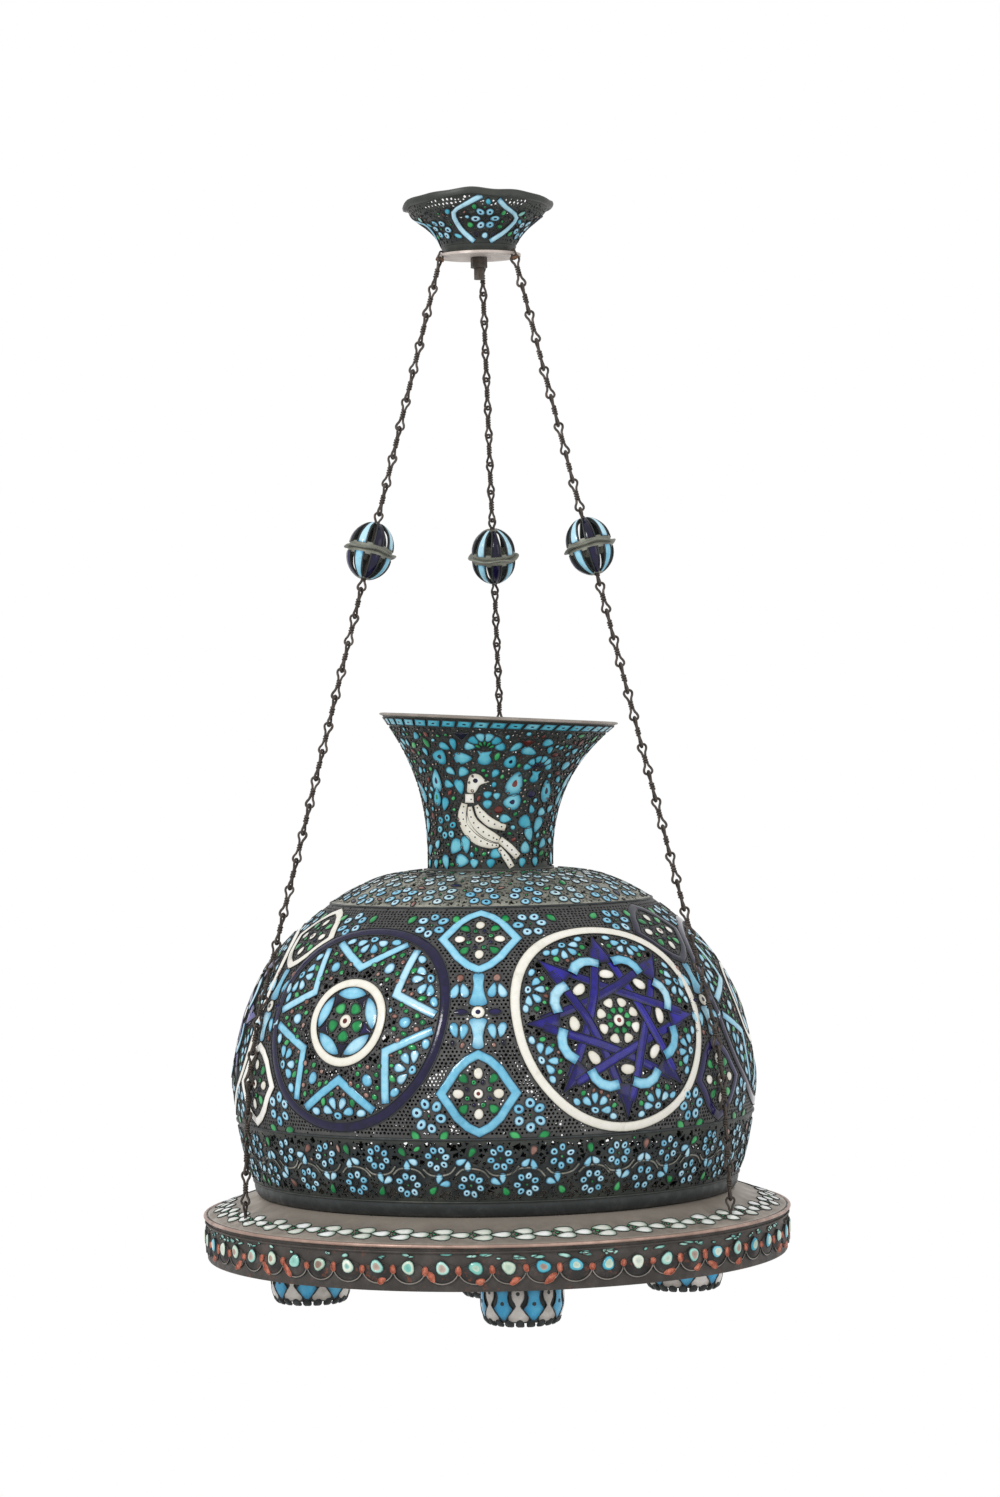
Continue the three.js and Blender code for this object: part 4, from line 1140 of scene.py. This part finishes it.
# Lone leaves and drops on the neck: across, height, turn, half width, half height and dot
neckLeaves = [
    (-41.7, -416, -35, 5.2, 6.2, "navy"), (-43, -434, -12, 4.2, 8.4, "navy"), (-41.6, -446.5, -14, 3.4, 7, "green"),
    (-24.3, -417, 90, 4.6, 6.4, None), (-32.6, -406.5, 0, 2.6, 5, None), (-39, -408.5, 60, 3, 4.6, None),
    (-32.6, -427, 50, 2.8, 4, None), (-33.3, -437, 75, 3, 3.8, None), (-23.4, -427.6, -40, 3.4, 4.4, None),
    (-25, -438.6, 10, 3.4, 5.8, None), (-35.4, -452, -20, 3, 5, None), (12.4, -419, -20, 4.2, 5.4, "navy"),
    (15, -408, -45, 2.8, 5.2, None), (25.5, -411, 70, 3.4, 6, None), (39.4, -404, 80, 3.4, 4.4, None),
    (16.8, -436, -8, 5.8, 8.8, "darkRed"), (15.3, -450.6, 90, 5.4, 6.4, "navy"), (41, -442, 24, 4.4, 9, "navy"),
    (-3.5, -445, 0, 3, 3, None), (3.6, -446, 0, 2.6, 2.8, None), (-3.2, -452.4, 0, 3.3, 3.4, None),
    (11, -463.6, 80, 3, 4.4, None), (26.4, -466.7, 55, 4.2, 5.8, None), (35.8, -468.8, -20, 3.8, 5.8, None),
    (29.2, -476, 20, 3.5, 5.4, None), (26.4, -486, 180, 3.8, 4.4, None), (38.6, -459, 70, 3, 4, None),
    (-26.4, -484.6, -35, 4.4, 6, None), (-18.8, -483, 5, 3.4, 6, None), (-21.5, -495.4, 80, 4.4, 5, None),
    (4.2, -490.6, 60, 3.4, 4, None), (-34, -496.5, 10, 3.2, 5.2, None),
]


def addNeckPictures(zone):
    addPalmette(zone, -8.3, -410.5, 12, "green", 6.4, 7)
    addPalmette(zone, 33, -425.5, 9.6, "navy", 4.8, 5.8)
    addCell(zone, neckChart(zone, 30, -444.6), oval(4.2, 3.6), "navy")
    addBird(zone)
    crownShape = mirrored([(0, -4.4), (3.6, -1.2), (7, 3), (2.6, 2.2), (0, 4.2)], 2)
    for across, height, look in ((24, -404.4, "darkRed"), (-27, -400, "navy")):
        addCell(zone, neckChart(zone, across, height), crownShape, look)
    for across, height, turn, halfWidth, halfHeight, dot in neckLeaves:
        form = drop if dot else petal
        addCut(zone, neckChart(zone, across, height, turn), form, (1.24 * halfWidth, 1.2 * halfHeight), "turquoise",
               0.03, dot=dot, dotShare=0.3)
    addFlower(zone, neckChart(zone, -34, -469.5), 6, 7, 3.1, 3.6, look="turquoise")
    addCell(zone, neckChart(zone, 5.5, -456.4), oval(4.2, 3.6), "darkRed")


neckShapes = [
    (petal, 3.9, 5.6, "turquoise", None), (leaf, 3.1, 5.0, "green", None), (petal, 3.4, 4.8, "turquoise", None),
    (leaf, 2.4, 3.8, "darkRed", None), (oval, 2.0, 2.4, "green", None), (oval, 2.4, 2.8, "turquoise", None),
]
beadShapes = [(oval, 1.3, 1.4, "tan", None), (oval, 1.1, 1.3, "tan", None), (oval, 1.1, 1.3, "darkRed", None)]


def makeNeck():
    profile = [(neckRadius(z), z) for z in np.linspace(neck["bottom"], neck["top"], 12)]
    surface = turnedSurface(profile, neckWarp)
    length = surface["length"]
    top = length - 4.8  # middle of the border of slanted cells
    zones = makeSectors(surface, 71, neck["facing"] - 60)
    slanted = subdivided(neck["slanted"], 2.6, True)
    for k, zone in enumerate(zones):
        zone["turned"] = 120 * k
        for i in range(neck["border"]):
            bearing = zone["start"] + 120 * i / neck["border"]
            addCell(zone, chartAt(surface, bearing, top, -2), slanted, "turquoise", "navy", 0.24, dome=0.3)
            addDot(zone, chartAt(surface, bearing + 4.3, top - 6.4), "tan", 1.1)
        addNeckPictures(zone)
    for zone in zones:
        dice = zone["dice"]
        for i in range(8):
            place = chartAt(surface, zone["start"] + 15 * i, 5.2 + dice.uniform(-0.6, 0.6), dice.uniform(-12, 12))
            if roomAt(zone["cover"], drawn(place, [(0, 0)], 0)[0]) > 3.6:
                addCut(zone, place, petal, (3.5, 4.2), "turquoise")
        strewCells(zone, 1, length - 8, 1800, neckShapes, gap=0.3)
        strewCells(zone, 1, length - 8, 1800, beadShapes, gap=0.5)
    addTurned(zones[0]["draft"], neck["collar"], "foot", 96)
    kinds = [dict(pierced["middle"], least=1.1), pierced["small"]]
    finishSectors(zones, "neck_trumpet_", ["neck"], "foot", kinds, 2, 1.5)


makeNeck()
makeTurned("neck_lip", neck["lip"], "neckRim", "lamp", "neck_rim", 144, neckWarp)
print("neck made")

# Canopy: a flared cup with a thick uneven rim, highest at the front and back
canopy = {
    "profile": [(26.6, -25.6), (28.6, -20), (31.4, -14), (35.4, -8.6), (40, -4), (46, 1), (51.6, 6), (55.4, 12.2)],
    "lift": 2.4, "droop": -2.0, "ripple": 0.5, "facing": -85.8,
    "collar": [(27.4, -25.6), (28.2, -23), (29.2, -20.4), (28.4, -19.8), (27.0, -23)],
    "lip": [(56.4, 10.6), (58.2, 11.4), (58.9, 13.6), (58.2, 15.8), (56.4, 16.6), (54.6, 15.8), (53.9, 13.6),
            (54.8, 11.2)],
    # two brackets that face each other, as they are seen from the front
    "brackets": [[(3.4, 10.8), (-8, 6.2), (-18.7, 1.5), (-10, -9), (-1.5, -19)],
                 [(15.8, 9.4), (22.6, 4), (29.4, -1.6), (19, -10.6), (8.6, -19)]],
    "windows": [(-17, 5.6), (-20.4, -3), (13.6, 7.8), (1, 6.6), (17.6, 5.2), (-38, 0), (34, 5)],
}
# Lone cells on the canopy: across, height, half width, half height, turn and enamel
canopyLeaves = [
    (-2.9, 3.6, 2.6, 3.0, 0, "green"), (19.6, 0.6, 2.6, 3.2, 0, "green"), (-6.2, -7.4, 2.8, 3.4, 20, "green"),
    (16.4, -8.4, 2.8, 2.4, 0, "green"), (-8.4, -2.2, 2.2, 2.2, 0, "lightBlue"), (8, 7.4, 2.6, 2.8, 0, "turquoise"),
    (4.8, -14.6, 2.8, 3.2, 0, "lightBlue"), (-15.4, -14.2, 2.4, 3.8, 60, "turquoise"),
    (-23.4, 2.4, 2.6, 3.6, -40, "turquoise"), (-37.6, -3.6, 2.2, 3.6, 50, "turquoise"),
    (33.4, 1.4, 2.6, 4, -50, "verdigris"), (24, -12.6, 2.2, 3.4, -40, "green"), (-1.6, -13.8, 1.8, 3.2, 30, "navy"),
    (11, -13.6, 1.8, 3.2, -30, "navy"),
]


def canopyWarp(x, y, z):
    angle = np.arctan2(y, x)
    share = np.clip((z + 26) / 38, 0, 1) ** 2
    wave = canopy["lift"] * np.sin(angle) ** 2 + canopy["droop"] * np.cos(angle) ** 2
    return 0, share * (wave + canopy["ripple"] * np.sin(7 * angle + 0.6) + 0.4 * np.sin(11 * angle))


def canopyChart(zone, across, height, turn=0.0):
    surface = zone["surface"]
    along = alongAt(surface, height)
    bearing = seenBearing(across, float(radiusAt(surface, along)))
    return chartAt(surface, canopy["facing"] + zone["turned"] + bearing, along, turn)


def makeCanopy():
    surface = turnedSurface(canopy["profile"], canopyWarp)
    length = surface["length"]
    zone = newZone(surface, 91, start=94, end=454)
    holes = []
    for turned in (0, 120, 240):
        zone["turned"] = turned
        for bracket in canopy["brackets"]:
            addSeenBand(zone, canopyChart, bracket, 5.0, "lightBlue")
        addFlower(zone, canopyChart(zone, 5.7, -3.1), 6, 7.3, 3.5, 4.0)
        addFlower(zone, canopyChart(zone, -28.3, -8), 6, 6.6, 3.2, 3.6)
        for across, height, halfWidth, halfHeight, lean, look in canopyLeaves:
            addCut(zone, canopyChart(zone, across, height, lean), oval, (halfWidth, halfHeight), look, 0.05)
        for across, height in canopy["windows"]:
            place = canopyChart(zone, across, height)
            holes.append(holeAt(zone, place["angle"], place["along"], 2.4, 3))
    strewCells(zone, 8, length - 8, 700, smallShapes, gap=0.5)

    def between(low, high):
        return lambda angle, along: low < along < high
    slits = {"pitch": 5.2, "size": 1.5, "jitter": 0.1, "margin": 0.7, "least": 1.0, "sides": 4, "where": between(5, 9)}
    kinds = [slits, dict(pierced["fine"], pitch=3.6, size=1.35, where=between(length - 9, length))]
    kinds += [dict(pierced[name], where=between(9, length)) for name in ("large", "middle", "small")]
    addSheet(zone, holes + piercings(zone, 1.5, length - 1.2, kinds), "foot")
    addTurned(zone["draft"], canopy["collar"], "foot", 96)
    makeObject("canopy_enamelled_cup", zone["draft"], "canopy", ["canopy_cup"])
    makeTurned("canopy_lip", canopy["lip"], "foot", "canopy", "canopy_rim", 144, canopyWarp)


# Flat metal with holes: the outer loop first, then the holes
def addFlatRing(draft, loops, top, bottom, look):
    flat, triangles = cutOut([list(loop) for loop in loops])
    level = np.ones((len(flat), 1))
    addLayers(draft, np.hstack([flat, level * top]), np.hstack([flat, level * bottom]), triangles, look)


# Disc under the canopy, with a hole for the rod and one for each chain's hook
disc = {
    "radius": 32.6, "rodHole": 4.4, "top": -26, "bottom": -28, "hookAt": 29.2, "hookHole": (2.2, 1.7),
    "collar": [(27.6, -26), (27.2, -24), (26.2, -24), (26.2, -26)],
}


def makeDisc():
    draft = newDraft()
    loops = [circle(disc["radius"], 96), circle(disc["rodHole"], 24)]
    for angle in (90, 210, 330):
        x, y = polar(disc["hookAt"], angle)
        c, s = polar(1, angle)
        loops.append([(x + a * c - b * s, y + a * s + b * c) for a, b in oval(*disc["hookHole"])])
    addFlatRing(draft, loops, disc["top"], disc["bottom"], "disc")
    addTurned(draft, disc["collar"], "foot", 96)
    makeObject("canopy_plate", draft, "canopy", ["canopy_disc"])


makeCanopy()
makeDisc()
print("canopy made")

# Plate: sloped top with sprigs, a bead, a band with scallops and drops of enamel
plate = {
    "sprigs": 44, "sprigRadius": 210.5, "scallops": 58, "cups": 146, "cupTurn": 11, "cupHole": 26.5,
    "flatRadius": 184.4, "top": -752, "bottom": -754, "bead": (226.5, -767.3, 1.35, 12), "bandRadius": 225.2,
    "slope": [(222.4, -767.4), (223.9, -766.9), (224.3, -766.2), (222.6, -765.2), (204, -758.9), (184.3, -752.0),
              (184.3, -754.0), (203.6, -761.0), (221.2, -767.4)],
    "face": [(224.2, -765.9), (204, -758.9), (186, -752.5)],  # the slope as the sprigs lie on it
    "band": [(224.4, -800.3), (225, -799.4), (225, -766.6), (224.4, -766.2), (223.1, -766.2), (223.1, -800.3)],
    "groove": [(226.4, -772.6), (226.9, -771.9), (226.4, -771.2), (225.0, -771.2), (225.0, -772.6)],
}


def cupPlaces():
    return [(0.0, 0.0)] + [polar(plate["cups"], plate["cupTurn"] + 90 * k) for k in range(4)]


def makePlate():
    zone = newZone(turnedSurface(plate["face"]), 101)
    dice, draft = zone["dice"], zone["draft"]
    holes = [[(x + a, y + b) for a, b in circle(plate["cupHole"], 48)] for x, y in cupPlaces()]
    addFlatRing(draft, [circle(plate["flatRadius"], 180)] + holes, plate["top"], plate["bottom"], "plate")
    addTurned(draft, plate["slope"], "plate", 240)
    for i in range(plate["sprigs"]):
        bearing = front + 3 + 360 * i / plate["sprigs"]
        middle = plate["face"][0][0] - plate["sprigRadius"]
        chart = chartAt(zone["surface"], bearing, middle, -90 + dice.uniform(-5, 5))
        for side in (-1, 1):
            addCut(zone, moved(chart, 4.7 * side, -6.5, 8 * side), petal, (4.8, 7.6), "wornWhite", wire=0.3)
        addCut(zone, moved(chart, 0, 7), petal, (4.6, 7.4), "wornWhite", wire=0.3)
        addDot(zone, moved(chart, 0, -12), "green", 1.5)
        for across in (-3.4, 3.4):
            addDot(zone, moved(chart, 0, 15.2), "green", 1.1, across)
    makeObject("plate_top", draft, "lamp", ["plate"])
    makeTurned("plate_rolled_bead", roundWire(*plate["bead"]), "bead", "lamp", "plate_bead", 240)
    makeTurned("plate_side_band", plate["band"], "band", "lamp", "plate_band", 240)


def makeScallops():
    radius = plate["bandRadius"]
    zone = newZone(turnedSurface([(radius, -800), (radius, -784), (radius, -768)]), 111)
    dice = zone["dice"]
    half = math.pi * radius / plate["scallops"]
    disc = mirrored([(0, 5), (6.4, 6.8), (10.6, 11), (11.4, 15), (8, 19), (0, 20)])
    edge = [(half * math.sin(math.radians(t)), 15.4 - 10 * math.cos(math.radians(t))) for t in range(-84, 85, 14)]
    for i in range(plate["scallops"]):
        chart = chartAt(zone["surface"], 360 * (i + 0.5) / plate["scallops"], 0)
        addCell(zone, chart, disc, "band", wire=0.5, dome=1.1, rim="band")
        addBand(zone, chart, edge, 1.5, "neckRim", wire=0.3, dome=0.2, lift=0.3)
        tone = dice.choice(["verdigris", "verdigris", "turquoise", "straw"])
        place = moved(chart, dice.uniform(-0.6, 0.6), 17 + dice.uniform(-0.5, 0.5))
        stone = roughened(oval(5.7, 5.3, 14), 0.09, dice)
        heart = dice.choice(["straw", "straw", "verdigris", "tan"])
        addCell(zone, place, stone, tone, dot=heart, dotShare=dice.uniform(0.4, 0.65), lift=1.0, dome=1.2)
        for _ in range(dice.choice([0, 0, 0, 1, 1])):
            turn = dice.uniform(-60, 60)
            x, y = polar(8.8, turn - 90)
            place = moved(chart, x, 15.4 + y, turn + 90)
            addCut(zone, place, leaf, (2.4, dice.uniform(3.5, 6.5)), "wornCopper", 0.1, wire=0.3, lift=0.9,
                   rim="wornCopper")
        for _ in range(dice.choice([1, 2, 4, 5])):
            streak = roughened(oval(dice.uniform(1.6, 5.6), dice.uniform(0.8, 1.8), 10), 0.12, dice)
            place = moved(chart, dice.uniform(-10, 10), dice.uniform(23.4, 27), dice.uniform(-14, 14))
            addCell(zone, place, streak, "verdigris", wire=0.25, dome=0.15, rim="band", lift=dice.uniform(-0.3, 0))
        place = moved(chart, half, 15.6 + dice.uniform(-1, 1))
        addCut(zone, place, oval, (2.2, dice.uniform(2.4, 3.8), 10), "wornCopper", 0.1, wire=0.3, rim="wornCopper",
               lift=0.6)
    addTurned(zone["draft"], plate["groove"], "band", 240)
    makeObject("scalloped_border", zone["draft"], "lamp", ["scallop_strip"])


cup = {
    "profile": [(24.5, -834.2), (27.4, -831.4), (29.4, -826.4), (30.3, -820), (30.5, -811), (30.5, -783),
                (30.5, -754.6)],
    "wall": 1.4, "figures": 8, "tabs": 21,
    "bottle": mirrored([(0, 4.6), (6.4, 5.2), (8.2, 9), (5.4, 13.6), (2.2, 17.4), (4.4, 21.2), (5.4, 25.6),
                        (4.2, 30.4), (0, 32)], 2),
    "lozenge": mirrored([(0, 5.4), (4.2, 9.6), (8.4, 14.6), (5.8, 18.6), (4.6, 24), (5.6, 29.5), (0, 31.5)], 2),
}


def makeCups():
    surface = turnedSurface(cup["profile"])
    outer = smoothLine(cup["profile"][1:], 4)
    step = 360 / cup["figures"]
    for k, (x, y) in enumerate(cupPlaces()):
        zone = newZone(surface, 131 + k)
        addTurned(zone["draft"], np.vstack([outer, outer[::-1] - (cup["wall"], 0)]), "foot", 72)
        for i in range(cup["figures"]):
            bearing = front + 8 + 20 * k + step * i
            for turn, figure, look, eye, size in ((0, "bottle", "dullWhite", 26.5, 1.6),
                                                  (step / 2, "lozenge", "cupBlue", 19, 1.7)):
                addCell(zone, chartAt(surface, bearing + turn, 0), cup[figure], look, wire=0.6, dome=0.3)
                addSpot(zone, chartAt(surface, bearing + turn, eye), size, "rim")
        for i in range(cup["tabs"]):
            place = chartAt(surface, front + 360 * i / cup["tabs"], 2.9)
            addCut(zone, place, oval, (3.4, 4.0), "rim", 0.05, wire=0.3, dome=1.0)
        name = "cup_%d" % k if k else "cup_centre"
        place = Matrix.Translation((x * mm, y * mm, 0))
        makeObject(name + "_enamelled", zone["draft"], "lamp", [name], place)


makePlate()
makeScallops()
makeCups()
print("plate and cups made")

# Chains: wrapped wire links with an eye at each end, laid along the record's joints
chain = {
    "wire": 1.0, "eyeHalf": 3.2, "eyeLength": 8.2, "coil": 1.35, "coilPitch": 1.95, "bite": 0.4,
    "hook": 5, "upperLinks": 9, "lowerLinks": 16, "drapeLinks": 6, "ballWire": 60.0, "roll": 45,
    "touch": (198.63, -615.4), "leaveHeight": -665.8, "end": (211.0, -749.18), "drapeLift": 4.4,
}
joints = {joint["name"]: joint for joint in frame["record"]["behaviour"]["joints"]}


# Eye as a line in its own plane: from the knot round the far end and back
def eyeLine(half, foot):
    wide, far = chain["eyeHalf"], half + chain["wire"]
    right = [(0.8, foot), (1.5, half - 5.6), (0.86 * wide, half - 3.4), (wide, half - 1.3), (0.7 * wide, half + 0.35)]
    return smoothLine(right + [(0, far)] + [(-x, y) for x, y in right[::-1]], 3)


def inPlane(centre, width, up, line):
    line = np.asarray(line, float)
    return centre + line[:, :1] * width + line[:, 1:2] * up


# Two eyes and the coils that bind them; a long link has a straight shaft between two coils
def addLink(draft, centre, width, up, inside, shaft=False):
    normal = np.cross(width, up)
    half = inside / 2
    foot = half - chain["eyeLength"] - 0.6
    for flip in (1, -1):
        addWire(draft, inPlane(centre, width, up, eyeLine(half, foot) * (1, flip)), chain["wire"])
    if shaft:
        addWire(draft, inPlane(centre, width, up, [(0, -foot - 1), (0, foot + 1)]), chain["wire"])
    reach = 1.4 if shaft else foot + 0.7
    for middle in ((-foot - 1, foot + 1) if shaft else (0.0,)):
        turns = 2 * reach / chain["coilPitch"]
        t = np.linspace(0, 1, int(turns * 9) + 1)[:, None]
        turn = 2 * math.pi * turns * t
        coil = (centre + chain["coil"] * (np.cos(turn) * width + np.sin(turn) * normal)
                + (middle - reach + 2 * reach * t) * up)
        addWire(draft, coil, chain["wire"] * 0.92)


def evenly(line, count):
    line = np.asarray(line, float)
    along = np.concatenate([[0], np.cumsum(np.linalg.norm(np.diff(line, axis=0), axis=1))])
    return np.stack([np.interp(np.linspace(0, along[-1], count + 1), along, column) for column in line.T], axis=1)


def rolled(out, tangent, roll):
    return out * math.cos(math.radians(roll)) + tangent * math.sin(math.radians(roll))


# Links from bearing to bearing; each is a quarter turn from the last
def makeRun(name, draft, bearings, tangent, roll, body, node):
    for i, (high, low) in enumerate(zip(bearings[:-1], bearings[1:])):
        length = np.linalg.norm(high - low)
        up = (high - low) / length
        width = rolled(np.cross(tangent, up), tangent, roll + 90 * i)
        addLink(draft, (high + low) / 2, width, up, float(length) + chain["bite"])
    makeObject(name, draft, body, [node])


hookLine = [(0, 1.0), (1.35, 0.5), (1.8, -2.6), (2.15, -5.2), (1.2, -6.3), (0, -6.5)]


# The hook over the edge of the disc, bound with a coil of rusty wire
def addHook(draft, top, up, out, tangent):
    line = smoothLine(hookLine + [(-x, y) for x, y in hookLine[-2:0:-1]], 3, closed=True)
    centre = top + up * 0.1
    addWire(draft, inPlane(centre, out, up, line), 0.8, closed=True)
    turn = np.linspace(0, 4 * math.pi, 30)[:, None]
    coil = centre - up * 4.6 + 2.9 * np.cos(turn) * out - 0.14 * turn * up + 1.7 * np.sin(turn) * tangent
    addWire(draft, coil, 0.7, "rustyIron")


def makeChain(name):
    spin = joints["ball_%s_spin" % name]
    top, ball = [np.array(joint["pos_m"]) / mm for joint in (joints["chain_%s_sway" % name], spin)]
    up, upright = np.array(spin["axis"], float), np.array([0.0, 0.0, 1.0])
    radial = np.array([top[0], top[1], 0]) / np.hypot(top[0], top[1])
    tangent = np.cross((0, 0, 1), radial)
    out = np.cross(tangent, up)
    wireHalf = chain["ballWire"] / 2 + 0.15
    touch = radial * chain["touch"][0] + upright * chain["touch"][1]
    body, label = "chain_" + name, "chain_" + name

    draft = newDraft()
    addHook(draft, top, up, out, tangent)
    bearings = evenly([top - up * chain["hook"], ball + up * wireHalf], chain["upperLinks"])
    makeRun(label + "_upper_links", draft, bearings, tangent, chain["roll"], body, label + "_upper")

    wire = newDraft()
    roll = chain["roll"] + 90 * chain["upperLinks"]
    addLink(wire, ball, rolled(out, tangent, roll), up, chain["ballWire"], shaft=True)
    makeObject("ball_wire_%s_bent" % name, wire, body, ["ball_wire_" + name])

    roll += 90
    bearings = evenly([ball - up * wireHalf, touch], chain["lowerLinks"])
    makeRun(label + "_lower_links", newDraft(), bearings, tangent, roll, body, label + "_lower")

    surface = turnedSurface(dome["belly"])
    lowAlong, highAlong = alongAt(surface, chain["leaveHeight"]), alongAt(surface, chain["touch"][1] - 1)
    lying = onSurface(surface, 0, np.linspace(highAlong, lowAlong, 12), chain["drapeLift"])
    course = [touch] + [radial * x + upright * z for x, _, z in lying]
    course.append(radial * chain["end"][0] + upright * chain["end"][1])
    bearings = evenly(course, chain["drapeLinks"])
    roll += 90 * chain["lowerLinks"]
    makeRun(label + "_drape_links", newDraft(), bearings, tangent, roll, "lamp", label + "_drape")

    eye = newDraft()
    width = rolled(radial, tangent, roll + 90 * chain["drapeLinks"])
    addWire(eye, inPlane(bearings[-1], width, upright, eyeLine(0.0, -8.8)), 0.9)
    addWire(eye, [bearings[-1] + upright * z for z in (-8.4, -12.6, -18.6)], 1.2, sides=8)
    makeObject("plate_eye_%s_bent" % name, eye, "lamp", ["plate_eye_" + name])
    return ball, up


# Ball: eight enamelled ribs above and below a wavy flange
ballPart = {
    "upper": [(16.4, 1.0), (16.6, 4.2), (16, 8.6), (14.2, 13.2), (11.2, 17.2), (7.6, 20.2), (4.6, 21.6)],
    "lower": [(4.6, -20.6), (7.6, -19.2), (11.2, -16.4), (14.2, -12.6), (16, -8.2), (16.6, -4.2), (16.4, -1.0)],
    "ribs": 8, "ribWidths": [8.4, 8.0, 7.2, 5.8, 4.2, 3.0], "ribShares": (0.1, 0.3, 0.5, 0.7, 0.88, 0.99),
    "flange": [(20.0, -0.7), (20.6, 0), (20.0, 0.7), (17.4, 0.8), (15.4, 1.1), (15.4, -1.1), (17.4, -0.8)],
}


def flangeWarp(x, y, z):
    angle, reach = np.arctan2(y, x), np.hypot(x, y) - 15
    return 0, reach * (0.12 * np.sin(5 * angle + 1.2) + 0.06 * np.sin(3 * angle))


def makeBall(name, centre, up, facing):
    turn = Vector((0, 0, 1)).rotation_difference(Vector(up)).to_matrix().to_4x4()
    place = Matrix.Translation(Vector(centre) * mm) @ turn
    for part, sign in (("upper", 1), ("lower", -1)):
        profile = ballPart[part]
        zone = newZone(turnedSurface(profile), 151)
        draft, length = zone["draft"], zone["surface"]["length"]
        for i in range(ballPart["ribs"]):
            bearing = -85.8 + facing + 360 / ballPart["ribs"] * i
            chart = chartAt(zone["surface"], bearing, 0 if sign > 0 else length)
            path = [(0, sign * share * length) for share in ballPart["ribShares"]]
            look = "lightBlue" if i % 2 else "navy"
            addBand(zone, chart, path, ballPart["ribWidths"], look, wire=1.0, sink=0.9, step=2.5)
        low, high = sorted([1.0 * sign, 4.6 * sign])
        addTurned(draft, [(16.6, low), (17.0, (low + high) / 2), (16.7, high), (15.2, high), (15.2, low)], "flange", 48)
        end = profile[-1][1] if sign > 0 else profile[0][1]
        near, far = sorted([end - 0.4 * sign, end + 0.8 * sign])
        addTurned(draft, [(5.2, near), (5.4, (near + far) / 2), (4.4, far), (1.6, far), (1.6, near)], "flange", 32)
        node = "ball_%s_%s" % (name, part)
        makeObject(node + "_ribs", draft, "ball_" + name, [node], place)
    flange = newDraft()
    addTurned(flange, ballPart["flange"], "flange", 72, flangeWarp)
    node = "ball_%s_flange" % name
    makeObject("ball_%s_wavy_flange" % name, flange, "ball_" + name, [node], place)


for name, facing in (("back", 8), ("left", 20), ("right", 4)):
    ballCentre, ballUp = makeChain(name)
    makeBall(name, ballCentre, ballUp, facing)
print("chains and balls made")

# Fittings that keep their CAD shape: forged iron in the middle of the canopy
for node in ("rod_nut", "hanging_ring", "canopy_washer"):
    mesh = frame["nodes"][node].data
    mesh.materials.clear()
    mesh.materials.append(looks["iron"])
print("fittings finished")
